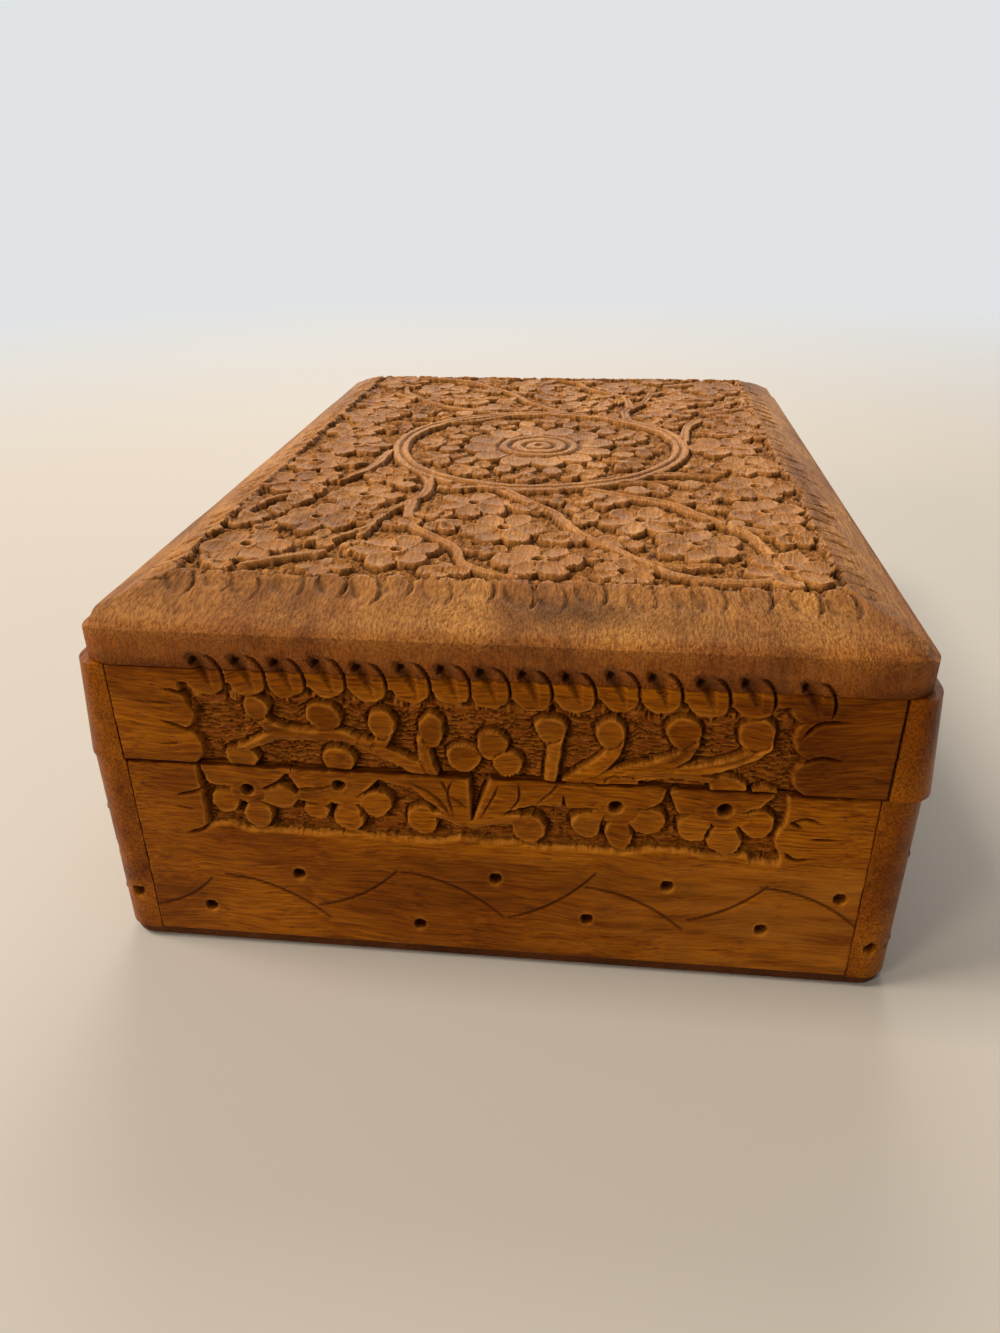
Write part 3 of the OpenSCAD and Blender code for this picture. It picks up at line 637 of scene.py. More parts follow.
TRAY_END_LOBES = ((-1, -4.0, 32.7, 4.3), (1, 3.4, 33.3, 4.7))
TRAY_END_CUTS = (
    (-1, [(-4.9, 35.8), (-1.8, 36.5), (1.3, 37.7)]), (-1, [(-4.2, 27.0), (-1.1, 28.0), (0.65, 29.4)]),
    (-1, [(-5.5, 33.2), (-1.5, 32.6)]),
    (1, [(6.5, 37.3), (3.6, 38.2), (1.9, 37.7), (0.6, 37.0)]), (1, [(5.6, 29.8), (2.4, 29.3), (0.4, 30.9)]),
    (1, [(4.2, 33.9), (10.5, 34.1)]), (1, [(0.6, 37.6), (1.6, 36.8), (3.1, 35.9)]),
)
WAVE = (((-67.2, 8.8), (-55, 16.3), -1.3), ((-52, 17.6), (-32, 8.4), 1.9), ((-33.8, 11.3), (-18, 20.9), -1.6),
        ((-17, 20.9), (2.4, 11.3), 1.9), ((3.2, 11.3), (19.5, 23.4), -1.7), ((17.8, 20), (36, 11.3), 1.8),
        ((37, 13.8), (50.7, 23), -1.3), ((49.5, 22.6), (67.4, 14.7), 1.8))
DOTS = ((-37.2, 18.7), (-56.1, 9.3), (-14, 8.2), (0.9, 20.6), (18.25, 12.2), (32.7, 21.5), (50.6, 12.6),
        (63.7, 21.0))


def draw_tray_band(sheet, shift=0.0, stretch=1.0):
    """Flat flowers that hang from the strip under the rim, two leaves that meet at a point, and a
    berry on each side of them, moved by shift and stretched along u."""
    def moved(points):
        return [(shift + u * stretch, v) for u, v in points]

    sheet.stand_above(moved(TRAY_STRIP))
    sheet.clear(moved(TRAY_GAP))
    sheet.vine(moved([(-3.2, 32.6), (0.8, 33.9), (5.0, 34.3)]), 0.9, 1.1, merge=True)
    sheet.vine(moved([(-10.4, 34.3), (-8.2, 34.0), (-5.5, 32.9)]), 0.6, 0.8, merge=True)
    for u, v, wide, high in TRAY_PETALS:
        sheet.lobe(shift + u * stretch, v, wide * stretch, high, tilt=0.3, merge=True)
    for points in TRAY_NICKS:
        sheet.knife(moved(points), 0.55, 1.7, 0.0, mark=0.4, fade=True)
    for points in TRAY_VEINS:
        sheet.knife(moved(points), 0.3, 0.55, 0.3, mark=0.5)
    for u, v, radius in TRAY_DRILLS:
        sheet.hole(shift + u * stretch, v, radius, 2.4)


def draw_wave(sheet, shift=0.0):
    """The scratched compass wave and the punched dots of the plain band."""
    for start, end, bow in WAVE:
        line = bowed((start[0] + shift, start[1]), (end[0] + shift, end[1]), bow)
        sheet.knife(line, 0.4, 0.34, 0.0, mark=1.0, smooth_line=False)
    for u, v in DOTS:
        sheet.hole(u + shift, v, 1.15, 1.5)


print("petals on the tray's band:", len(TRAY_PETALS))

# %% [markdown]
# ## Boards as wrapped grids
# A wall board is one closed ring, up its outer face, over its rim and down its inner face, carried
# along the board. The outer face's points come from a drawing sheet. Its ends are closed with one
# face each, so the mesh is a solid that points outwards everywhere.


# %% Mesh from arrays
CRISP_DEG = 30


def make_mesh(name, points, quads, caps, tones, material):
    """points in mm as (n, 3), quads as (m, 4), caps as lists of corners, tones as named arrays."""
    mesh = bpy.data.meshes.new(name)
    corners = np.concatenate([quads.ravel(), *[np.asarray(c) for c in caps]]).astype(np.int32)
    sizes = np.concatenate([np.full(len(quads), 4), [len(c) for c in caps]]).astype(np.int32)
    starts = np.concatenate([[0], np.cumsum(sizes)[:-1]]).astype(np.int32)
    mesh.vertices.add(len(points))
    mesh.vertices.foreach_set("co", (points * MM).astype(np.float32).ravel())
    mesh.loops.add(len(corners))
    mesh.loops.foreach_set("vertex_index", corners)
    mesh.polygons.add(len(sizes))
    mesh.polygons.foreach_set("loop_start", starts)
    mesh.polygons.foreach_set("use_smooth", np.arange(len(sizes)) < len(quads))
    mesh.update(calc_edges=True)
    for tone, values in tones.items():
        layer = mesh.attributes.new(tone, "FLOAT", "POINT")
        layer.data.foreach_set("value", values.astype(np.float32).ravel())
    mesh.set_sharp_from_angle(angle=math.radians(CRISP_DEG))
    mesh.validate()
    mesh.materials.append(material)
    made = bpy.data.objects.new(name, mesh)
    bpy.context.scene.collection.objects.link(made)
    triangles = int((sizes - 2).sum())
    print(f"{name}: {len(points)} points, {triangles} triangles")
    return made


def carried(rings, tones, name, material, flip=False):
    """Joins each ring of points (columns, ring, 3) to the next with quads and closes both ends."""
    columns, ring = rings.shape[:2]
    index = np.arange(columns * ring).reshape(columns, ring)
    ahead = np.roll(index, -1, axis=1)
    quads = np.stack([index[:-1], index[1:], ahead[1:], ahead[:-1]], -1).reshape(-1, 4)
    caps = [index[0], index[-1][::-1]]
    if flip:
        quads, caps = quads[:, ::-1], [c[::-1] for c in caps]
    return make_mesh(name, rings.reshape(-1, 3), quads, caps, tones, material)


# %% [markdown]
# The long boards run past the end boards and show their end grain at the corners, so their outer
# line has a short flat, a rounded corner, the long face, and the same again. The end boards are
# straight. A board of the left side also has the hinge's cuts: a slope along its back edge that
# lets the lid lean back, a flat recess for each leaf and a hollow for each barrel.

# %% Outer lines and wall boards
WALL = 8.0
TRAY_HALF_W, TRAY_HALF_L, TRAY_TOP, BOTTOM_T = 75.5, 101.25, 43.0, 2.5
LID_HALF_W, LID_HALF_L, LID_RIM, SEAM, LID_SHIFT = 76.0, 101.75, 43.3, 63.0, 0.45
CORNER_R, SIDE_LEAN = 5.5, 1.8
AXIS_X, AXIS_Z, HINGE_V, RECESS_HALF = -74.3, 43.15, 56.25, 12.6
BARREL_R, LEAF_REACH, LEAF_T, STOP_SLOPE = 2.3, 5.7, 0.9, math.tan(math.radians(50.5))
RIM_ROWS = np.array([1.31, 0.95, 0.6, 0.25, 0.0])      # rows next to a long board's rim, from the rim
DEEPEST = WALL - 3


def long_line(u, half_w, half_l):
    """Outer line of a long board at the distance u from its middle: flat at the end, a quarter
    circle of CORNER_R, then the straight face. Gives points and outward directions."""
    straight, arc = half_l - CORNER_R, CORNER_R * QUARTER
    past = np.clip(np.abs(u) - straight, 0, arc) / CORNER_R
    flat = np.clip(np.abs(u) - straight - arc, 0, None)
    x = half_w - CORNER_R + CORNER_R * np.cos(past) - flat
    y = np.sign(u) * (np.clip(np.abs(u), 0, straight) + CORNER_R * np.sin(past))
    return np.stack([x, y], -1), np.stack([np.cos(past), np.sign(u) * np.sin(past)], -1)


def long_columns(half_l, step, marks=()):
    """Distances from the middle for the columns of a long board, finer on the face."""
    reach = half_l - CORNER_R + CORNER_R * QUARTER + WALL - CORNER_R
    face = np.arange(-(half_l - CORNER_R), half_l - CORNER_R + step / 2, step)
    corner = np.arange(half_l - CORNER_R + 0.7, reach, 0.7)
    gap = 0.03
    edges = [m + s * gap for m in marks for s in (-1, 1)]
    return np.unique(np.round(np.concatenate([[-reach], -corner, face, edges, corner, [reach]]), 4))


def softened(ends, u, reach, drop):
    """Extra depth at a board's two ends, where its arris is worn round."""
    return drop * sum(np.clip(1 - np.abs(u - end) / reach, 0, 1) ** 2 for end in ends)


def place_board(rings, half_turn, shift):
    """Turns a board half round the box's middle for the opposite side, then moves it in X."""
    if half_turn:
        rings = rings * (-1, -1, 1)
    return rings + (shift, 0, 0)


def arris(z_rim, z_far, outer, inner, step=0.3, loop=0.9):
    """The ring's points after the outer face: over the rim and down the inner face, with a
    softened arris at each corner. Outer and inner are (columns, 2) points in plan."""
    sign = 1.0 if z_far > z_rim else -1.0
    across = inner - outer
    length = np.linalg.norm(across, axis=1, keepdims=True)
    shares = [(step, 0), (loop, 0), (length - loop, 0), (length - step, 0)]
    made = [np.column_stack([outer + across * s / length, np.full(len(outer), z_rim)]) for s, _ in shares]
    for z in (z_rim + sign * step, z_rim + sign * loop, z_far - sign * loop, z_far):
        made.append(np.column_stack([inner, np.full(len(outer), z)]))
    return np.stack(made, 1)


def ring_tones(sheet, extra, downwards):
    """The sheet's tones, with zeros for the ring's points that lie off the outer face. A ring that
    runs downwards takes the sheet's rows from the top."""
    zeros = np.zeros((len(sheet.us), extra))
    return {k: np.concatenate([t[:, ::-1] if downwards else t, zeros], 1) for k, t in sheet.tones().items()}


def end_board(name, sheet, deep, half_l, rim, far, half_turn, shift, material):
    """A straight board. The ring's rows go from the edge far from the rim to the rim."""
    u, downwards = sheet.us, rim < far
    rows, deep = (sheet.vs[::-1], deep[:, ::-1]) if downwards else (sheet.vs, deep)
    z = np.broadcast_to(rows, deep.shape)
    face = np.stack([np.broadcast_to(u[:, None], deep.shape), deep - half_l, z], -1)
    outer = np.stack([u, deep[:, -1] - half_l], -1)
    inner = np.stack([u, np.full(len(u), WALL - half_l)], -1)
    rest = arris(rim, far, outer, inner)
    rings = place_board(np.concatenate([face, rest], 1), half_turn, shift)
    return carried(rings, ring_tones(sheet, rest.shape[1], downwards), name, material, flip=downwards)


def side_board(name, sheet, deep, half_w, half_l, rim, far, half_turn, shift, lean, hinged, material):
    """A long board, as end_board, along the line with rounded corners. lean tips its face inwards
    by that much over its height. A hinged one gets the slope, recesses and hollows at its rim."""
    u, downwards = sheet.us, rim < far
    rows, deep = (sheet.vs[::-1], deep[:, ::-1]) if downwards else (sheet.vs, deep)
    plan, out = long_line(u, half_w, half_l)
    tip = lean * (rows - min(rim, far)) / abs(rim - far)
    weight = np.clip((plan[:, 0] - (half_w - WALL)) / WALL, 0, 1)
    x = plan[:, None, 0] - out[:, None, 0] * deep - weight[:, None] * tip
    y = plan[:, None, 1] - out[:, None, 1] * deep
    z = np.broadcast_to(rows, deep.shape).copy()
    inner = np.stack([np.full(len(u), half_w - WALL), u / u[-1] * (half_l - 2)], -1)
    if hinged:
        x, z, tail = hinge_cuts(u, x, z, rim, far, half_w, shift)
        tail = np.stack([tail[..., 0], np.broadcast_to(y[:, -1:], tail.shape[:2]), tail[..., 1]], -1)
        rest = arris(rim, far, tail[:, -1, :2], inner)[:, 2:]
        rest = np.concatenate([tail, rest], 1)
    else:
        rest = arris(rim, far, np.stack([x[:, -1], y[:, -1]], -1), inner)
    rings = place_board(np.concatenate([np.stack([x, y, z], -1), rest], 1), half_turn, shift)
    return carried(rings, ring_tones(sheet, rest.shape[1], downwards), name, material, flip=downwards)


def hinge_cuts(u, x, z, rim, far, half_w, shift):
    """Moves the last five rows of a left board to its rim's slope, or to a barrel's hollow where a
    hinge sits, and adds the leaf's recess. Works in the turned frame, where outwards is +x."""
    sign = 1.0 if rim < far else -1.0
    axis = -(AXIS_X - shift)
    slope = axis + (RIM_ROWS + abs(AXIS_Z - rim)) / STOP_SLOPE
    at_hinge = np.zeros(len(u), bool)
    for middle in (-HINGE_V, HINGE_V):
        at_hinge |= np.abs(u - middle) < RECESS_HALF
    x[:, -5:] = np.minimum(x[:, -5:], slope)
    z[:, -5:] = rim + sign * RIM_ROWS
    first = math.acos((half_w - axis) / BARREL_R)
    last = math.pi - math.asin((LEAF_T + abs(AXIS_Z - rim)) / BARREL_R)
    swing = np.linspace(first, last, 5)
    hollow_x = axis + BARREL_R * np.cos(swing)
    hollow_z = AXIS_Z + sign * BARREL_R * np.sin(swing)
    x[at_hinge, -5:] = np.minimum(hollow_x, x[at_hinge, -6][:, None])
    z[at_hinge, -5:] = hollow_z
    wall_x = axis - LEAF_REACH
    foot = np.where(at_hinge, rim + sign * LEAF_T, rim)
    tail_x = np.tile((wall_x + 0.02, wall_x, wall_x - 0.2), (len(u), 1))
    tail_z = np.stack([foot, np.full(len(u), rim), np.full(len(u), rim)], 1)
    return x, z, np.stack([np.minimum(tail_x, x[:, -1:]), tail_z], -1)


print("columns of a long board:", len(long_columns(TRAY_HALF_L, 0.4)))

# %% [markdown]
# ## The eight wall boards
# The near boards follow the photograph. The others are out of its sight, so they carry the same
# pattern, longer on the long sides, with their own small accidents of the knife. Each sheet's rows
# are fine where it is carved and coarser where it is plain.


# %% Drawings for the lid's and the tray's bands
def ridged(noise):
    """Rounded hollows with sharp crests between them: |2 n - 1| of a noise n from 0 to 1."""
    return np.abs(2 * noise - 1)


def gouge(sheet, deep, seed, comb):
    """The chisel's strokes on the ground: ragged steps 0.8 mm apart that lie along u, each a slope
    with a sharp drop, its phase bent by noise. Where comb is 1 they stand upright as a comb's teeth.
    Each stroke gets a painted shadow before its drop and a painted highlight on its crest."""
    bend = 1.8 * cloudy(sheet.u / 3.2 + 5, sheet.v / 7 + 5, seed + 3) + 0.6 * cloudy(
        sheet.u / 0.9 + 25, sheet.v / 2.5 + 5, seed + 4)
    lying = (sheet.v / 0.95 + bend) % 1
    force = 1.5 * smooth(1.5 * cloudy(sheet.u / 1.5 + 9, sheet.v / 0.8 + 9, seed + 1) - 0.25)
    upright = ridged(cloudy(sheet.u / 0.6 + 70, sheet.v / 2.6 + 70, seed + 2))
    saw = lying * (1 - comb) + upright * comb
    hollow = np.clip(force, 0, 1) * smooth(sheet.edge / 0.3) * sheet.into
    sheet.line = np.maximum(sheet.line, 0.8 * hollow * smooth((saw - 0.6) / 0.3))
    sheet.raw_and_highlight = np.maximum(sheet.raw_and_highlight, 0.9 * hollow * smooth((0.3 - saw) / 0.25))
    return deep * (saw * force - 0.3)


def lid_sheet(us, vs, fields, seed, motifs, beads):
    """A lid band's sheet: the chopped field below the beads, the motifs, the beads and the ends."""
    sheet = Sheet(us, vs, seed)
    sheet.into = field_share(sheet, *fields, LID_END_LOBES) * smooth((60.6 + sheet.wander - sheet.v) / 0.9)
    for shift, stretch in motifs:
        draw_lid_band(sheet, shift, stretch)
    draw_beads(sheet, beads)
    end_cuts(sheet, *fields, LID_END_CUTS)
    comb = smooth((sheet.v - 55.4) / 1.4)
    sheet.depth(1.7, wall=0.28, strokes=gouge(sheet, 0.9, seed, comb), grain=0.16)
    return sheet


def tray_sheet(us, vs, fields, seed, copies, corner_dots=()):
    """A tray band's sheet: the field under the rim, flowers, leaves, ends, and the scribed wave."""
    sheet = Sheet(us, vs, seed)
    left, right = fields
    chopped = (left + 1.0, right - 2.1)
    waver = 1.4 * cloudy(sheet.u / 5 + 30, sheet.v * 0 + 5, seed) - 0.7
    ragged = 1.5 * smooth((sheet.u - right + 8.0) / 1.2) * smooth((right + 0.4 - sheet.u) / 0.8)
    comb = 0.5 * smooth((31.4 - sheet.v) / 1.4)
    teeth = 0.8 * comb * (cloudy(sheet.u / 0.7 + 70, sheet.v / 3 + 70, seed + 2) - 0.5)
    above = sheet.v - 28.3 - waver + ragged + teeth
    sheet.into = field_share(sheet, *chopped, TRAY_END_LOBES) * smooth(above / 1.7)
    for shift, stretch in copies:
        draw_tray_band(sheet, shift, stretch)
        draw_wave(sheet, shift * 0.8)
    end_cuts(sheet, *chopped, TRAY_END_CUTS)
    for u, v in corner_dots:
        sheet.hole(u, v, 1.1, 1.4)
    strokes = gouge(sheet, 0.8, seed, comb)
    # Painted light on the sloping ledge where the field rises to the plain band, as if lit from above, with
    # painted shade on its deeper half.
    ledge = 4 * sheet.into * (1 - sheet.into) * smooth((31.5 - sheet.v) / 1.0)
    sheet.raw_and_highlight = np.maximum(sheet.raw_and_highlight, 2.2 * ledge * cloudy(sheet.u / 1.2, sheet.v / 2, seed + 8))
    sheet.line = sheet.line * (1 - ledge) + 0.7 * ledge * (sheet.into > 0.55)
    sheet.depth(2.0, wall=0.28, strokes=strokes, grain=0.16)
    chips = smooth((cloudy(sheet.u / 1.4 + 8, sheet.v / 1.4, seed + 7) - 0.62) * 5)
    sheet.deep = sheet.deep + 0.45 * chips * smooth((sheet.v - 42.2) / 0.6)
    return sheet


def graded(*parts):
    """Row places: each part is (start, end, step), with the last end added."""
    rows = [np.linspace(a, b, max(int(round((b - a) / s)), 1), endpoint=False) for a, b, s in parts]
    return np.concatenate([*rows, [parts[-1][1]]])


print("comb strokes per cm:", round(10 / (0.6 * 2), 1))

# %% The near and far boards
NEAR_FIELD = (-55.1, 54.2)
CARVED_FROM = 26.0                     # the tray's rows are finer above this height
LONG_FIELD = (-88.0, 88.0)
LONG_BEADS = BEAD_PITCH * (np.arange(24) - 11.5) + 0.3
BEADS = {"near": bead_rows(NEAR_BEADS, 61), "far": bead_rows(NEAR_BEADS, 62),
         "left": bead_rows(LONG_BEADS, 63), "right": bead_rows(LONG_BEADS, 64)}


def add_board(board, kind, side):
    """Says what a wall board rides on, and hides the CAD node it stands for."""
    body, node = ("lid", f"lid_{side}") if kind == "lid" else ("base", f"base_{side}")
    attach(board, body)
    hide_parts(node)


def make_end(kind, side, step, seed):
    """One end board of the lid or the tray, carved as the near one is."""
    far_side = side == "far"
    if kind == "lid":
        crack = 0.1 if far_side else 0.4
        us = graded((-67.9, 68 - crack, step))
        sheet = lid_sheet(us, graded((LID_RIM, SEAM, step)), NEAR_FIELD, seed, [(0.0, 1.0)], BEADS[side])
        rim, far, half_l, shift, material = LID_RIM, SEAM, LID_HALF_L, LID_SHIFT, lid_end_wood
    else:
        us = graded((-67.42, 67.42, step))
        vs = graded((BOTTOM_T, CARVED_FROM, step * 1.9), (CARVED_FROM, TRAY_TOP, step))
        sheet = tray_sheet(us, vs, NEAR_FIELD, seed, [(0.0, 1.0)])
        rim, far, half_l, shift, material = TRAY_TOP, BOTTOM_T, TRAY_HALF_L, 0.0, end_wood
    rim_wear = 0.7 * np.clip(1 - np.abs(sheet.v - rim) / 0.5, 0, 1) ** 2
    rim_wear += 0.3 * np.clip(1 - np.abs(sheet.v - far) / 0.35, 0, 1) ** 2
    # Painted shadow in a band along the rim, where lid and tray meet, wider on the left.
    gap = (0.28 + 0.2 * smooth((15 - sheet.u) / 60)) * (0.6 + 0.8 * cloudy(sheet.u / 2, sheet.v * 0, seed))
    sheet.line = np.maximum(sheet.line, smooth(2 * (1 - np.abs(sheet.v - rim) / gap)))
    under = smooth(2 * (1 - np.abs(sheet.v - SEAM) / 0.25)) * smooth((-30 - sheet.u) / 6)
    sheet.line = np.maximum(sheet.line, under)
    if kind == "lid":
        # The lid's band gets darker towards its right end.
        darker_right = smooth((sheet.u - 45) / 10) * (0.4 + 0.4 * cloudy(sheet.u / 4, sheet.v / 3 + 20, seed))
        sheet.line = np.maximum(sheet.line, 0.8 * darker_right)
    # The tray's plain band gets lighter towards its right.
    lighter_right = 0.1 + 0.5 * smooth((sheet.u + 10) / 60) if kind == "tray" else 0.0
    lighter_right = lighter_right * cloudy(sheet.u / 9 + 3, sheet.v / 1.6 + 3, seed)
    sheet.raw_and_highlight = sheet.raw_and_highlight + lighter_right * smooth((29 - sheet.v) / 2)
    end_wear = softened((us[0], us[-1]), sheet.u, 0.35, 0.1 + 0.3 * cloudy(sheet.u * 0, sheet.v / 2.5, seed))
    deep = sheet.deep + rim_wear + end_wear + 0.14 * (cloudy(sheet.u / 16 + 7, sheet.v / 9, seed) - 0.2)
    deep = np.clip(deep, 0, DEEPEST)
    board = end_board(f"carved_{kind}_{side}_end", sheet, deep, half_l, rim, far, far_side, shift, material)
    add_board(board, kind, f"{side}_end")


make_end("lid", "near", 0.205, 11)
make_end("tray", "near", 0.215, 12)
make_end("lid", "far", 0.30, 13)
make_end("tray", "far", 0.32, 14)

# %% The long boards
LONG_COPIES = [(-43.8, 0.8), (43.8, 0.8)]
CORNER_DOTS = ((103.4, 11.6), (-103.4, 9.8))


def make_side(kind, side, seed):
    """One long board. The left ones carry the hinges, so their carving stops short of the leaves."""
    left_side = side == "left"
    marks = [h + s * RECESS_HALF for h in (-HINGE_V, HINGE_V) for s in (-1, 1)] if left_side else []
    if kind == "lid":
        us = long_columns(LID_HALF_L, 0.40, marks)
        vs = np.concatenate([LID_RIM + RIM_ROWS[::-1], graded((LID_RIM + 1.7, SEAM, 0.36))])
        sheet = lid_sheet(us, vs, LONG_FIELD, seed, LONG_COPIES, BEADS[side])
        rim, far, half_w, half_l, shift, lean = LID_RIM, SEAM, LID_HALF_W, LID_HALF_L, LID_SHIFT, SIDE_LEAN
        material = lid_side_wood
    else:
        us = long_columns(TRAY_HALF_L, 0.42, marks)
        rows = graded((BOTTOM_T, CARVED_FROM, 0.7), (CARVED_FROM, TRAY_TOP - 1.7, 0.36))
        vs = np.concatenate([rows, TRAY_TOP - RIM_ROWS])
        sheet = tray_sheet(us, vs, LONG_FIELD, seed, LONG_COPIES, CORNER_DOTS)
        rim, far, half_w, half_l, shift, lean = TRAY_TOP, BOTTOM_T, TRAY_HALF_W, TRAY_HALF_L, 0.0, 0.0
        material = side_wood
    deep = np.clip(sheet.deep, 0, DEEPEST)
    if left_side:
        for middle in (-HINGE_V, HINGE_V):
            pad = smooth((15.2 - np.abs(sheet.u - middle)) / 1.4)
            pad = pad * smooth((4.2 - np.abs(sheet.v - rim)) / 1.2)
            deep = deep * (1 - pad)
            sheet.ground = sheet.ground * (1 - pad)
    board = side_board(f"carved_{kind}_{side}_side", sheet, deep, half_w, half_l, rim, far, left_side,
                       shift, lean, left_side, material)
    add_board(board, kind, f"{side}_side")


make_side("tray", "left", 21)
make_side("tray", "right", 22)
make_side("lid", "left", 23)
make_side("lid", "right", 24)

# %% [markdown]
# ## The top board
# One thick board with a wide soft bevel on all four sides. Its flat field is full of carving: a ring
# of vine round a twelve-petalled rosette, stems that branch from the ring towards the corners, and
# six-petalled flowers and buds in every gap. The half nearest the camera is drawn. The far half is
# too blurred to follow, so it is the same drawing turned half round the ring's middle, a guess.

# %% Motifs of the top board
RING = (0.5, 2.0)
TOP_FLOWERS = ((-50, -74.2, 8.3, 8), (-40.7, -57.5, 8.0, 25), (-20.7, -74.6, 8.0, 12), (-34.4, -42.1, 8.0, 0),
               (-9.8, -45.8, 7.8, 20), (-1.9, -60.8, 8.0, 5), (6.2, -77.5, 8.2, 0), (25.2, -54.2, 8.2, 10),
               (35.8, -67.1, 8.2, 28), (51, -78.3, 8.0, 15), (51, -29.2, 8.0, 0), (51, -46.7, 8.0, 22),
               (54, -60, 5.4, 5), (-53.2, -33.3, 7.5, 10), (21.8, -81.7, 5.6, 30), (36.8, -38, 4.8, 0),
               (51.5, -12.0, 7.6, 12), (-52.5, -16.5, 7.2, 20), (-46.3, -0.5, 8.8, 10), (-32, -27, 6.0, 0))
TOP_BUDS = (
    (-14.8, -58.3, 4.0, -60), (-15.2, -35.4, 4.2, 100), (1.4, -49.2, 3.9, 70), (7.7, -39.6, 4.2, -90),
    (16.4, -39.6, 5.4, -80), (12.7, -52.5, 3.9, -30), (10.2, -63.3, 4.2, -90), (21.8, -65, 4.2, -110),
    (-31.5, -53.3, 4.0, 80), (-33.2, -58.8, 3.4, 60), (-22.3, -60.8, 3.8, 100), (-10.3, -82, 4.4, -90),
    (-38, -70, 4.2, 20), (-53, -60, 4.4, 140), (-46.5, -45, 4.2, 170), (-32.3, -81.7, 5.0, -90),
    (36.8, -56.7, 4.2, 120), (42.5, -36.5, 3.4, 40), (-44.5, -27, 4.4, 200), (41.5, -15.5, 4.2, 30),
    (-56, -48.5, 3.6, 180), (31, -31.5, 3.4, 200), (37, -15, 3.8, 0), (-17, -55, 3.6, 90),
    (17, -73, 3.6, -100), (-43, -18, 3.6, 120), (-54, -83.5, 3.8, 45), (-4, -74, 3.6, 90),
    (12, -49, 3.4, 60), (-52, -52, 3.4, 10), (-51, -64, 3.4, 0), (-31, -73, 3.2, 0),
    (-45, -38, 3.2, 200), (40, -46, 3.2, 80))
TOP_BERRIES = ((24.75, -33.75, 2.5), (36.7, -28.75, 2.3), (-27.2, -33.5, 2.2), (44, -54.5, 1.9))
TOP_STEMS = (
    ([(-24.8, -23.3), (-22.3, -30), (-21.5, -39.2), (-23.2, -44.2), (-26.5, -50.8), (-28.6, -59.2),
      (-29.4, -66.7)], 1.5, 0.7, 0.5),
    ([(-23.2, -45), (-22.3, -55), (-19.8, -61.7), (-14, -67.5), (-9.8, -72.5), (-7.3, -80), (-2.3, -84.2),
      (2.7, -85.8)], 1.3, 0.6, 0.4),
    ([(-28.6, -61.7), (-32.3, -66.7), (-39, -71.7)], 0.9, 0.5, 0.0),
    ([(-34.8, -76.7), (-41.5, -80), (-47.3, -84.2)], 1.3, 0.8, 0.0),
    ([(-7.3, -32.5), (-0.7, -40.8), (3.5, -45.8), (7.7, -50.8), (10.2, -56.7), (14.3, -64.2), (20.2, -70.8),
      (24.3, -75.8), (31, -78.3), (38.5, -77.5)], 1.4, 0.6, 0.4),
    ([(24.3, -75.8), (31, -82.5), (39.3, -85), (46, -84.2), (49.3, -81.7)], 0.9, 0.8, 0.0),
    ([(14.3, -35), (21.8, -38.3), (31, -42.5), (36.8, -49.2), (41, -54.2), (46, -60.8), (47.7, -66.7),
      (48.5, -71)], 1.5, 0.7, 0.5),
    ([(41, -54.2), (48.5, -58.3), (56, -62.5)], 1.0, 0.6, 0.0),
    ([(12.7, -30.8), (20.2, -25), (30.2, -20.8), (42.7, -21.7)], 1.3, 0.7, 0.3),
    ([(11.8, -31.7), (24.3, -27.5), (34.3, -27.1)], 1.1, 0.5, 0.3),
    ([(-36.5, -6), (-38, -21), (-40.7, -27), (-42.8, -31.5)], 1.3, 0.6, 0.3),
    ([(-49.8, -41.7), (-54.8, -45.8), (-56.9, -53.3), (-56.5, -60)], 0.9, 0.9, 0.0),
)
FAR_SQUEEZE = 0.955


def both_halves(u, v, turn=0.0):
    """A place and direction on the near half, and its partner turned half round the ring."""
    yield u, v, turn
    yield 2 * RING[0] - u, RING[1] + (RING[1] - v) * FAR_SQUEEZE, turn + math.pi


def draw_rosette(sheet):
    """Ring, rosette and the buds between them, round the ring's middle."""
    cu, cv = RING
    around = np.linspace(0, 2 * math.pi, 73)
    wobble = 35.6 + 0.5 * np.sin(3 * around + 0.6)
    circle = np.column_stack([cu + wobble * np.cos(around), cv + wobble * np.sin(around)])
    sheet.vine(circle, 1.8, groove=0.8, facet=0.15)
    for k in range(12):
        spread = math.radians(30 * k + 27)
        sheet.flower(cu + 25.4 * math.cos(spread), cv + 25.4 * math.sin(spread), 5.6, spread,
                     petals=(-62, 0, 62, 180), drill=0)
    for k in range(12):
        angle = math.radians(30 * k + 12)
        sheet.lobe(cu + 14.3 * math.cos(angle), cv + 14.3 * math.sin(angle), 4.8, 3.6, angle, cup=0.45)
        sheet.lobe(cu + 22.6 * math.cos(angle), cv + 22.6 * math.sin(angle), 2.6, 2.0, angle, cup=0.2)
    sheet.lobe(cu, cv, 10.6, 10.6, tilt=0.0)
    for radius, deep in ((10.4, 0.9), (7.5, 1.0), (3.8, 0.9)):
        turned = np.column_stack([cu + radius * np.cos(around), cv + radius * np.sin(around)])
        window = sheet.near(turned, 2)
        away = np.abs(np.hypot(sheet.u[window] - cu, sheet.v[window] - cv) - radius)
        sheet.cut[window] = np.maximum(sheet.cut[window], deep * np.clip(1 - away / 0.85, 0, 1))
    sheet.hole(cu, cv, 1.0, 1.2)


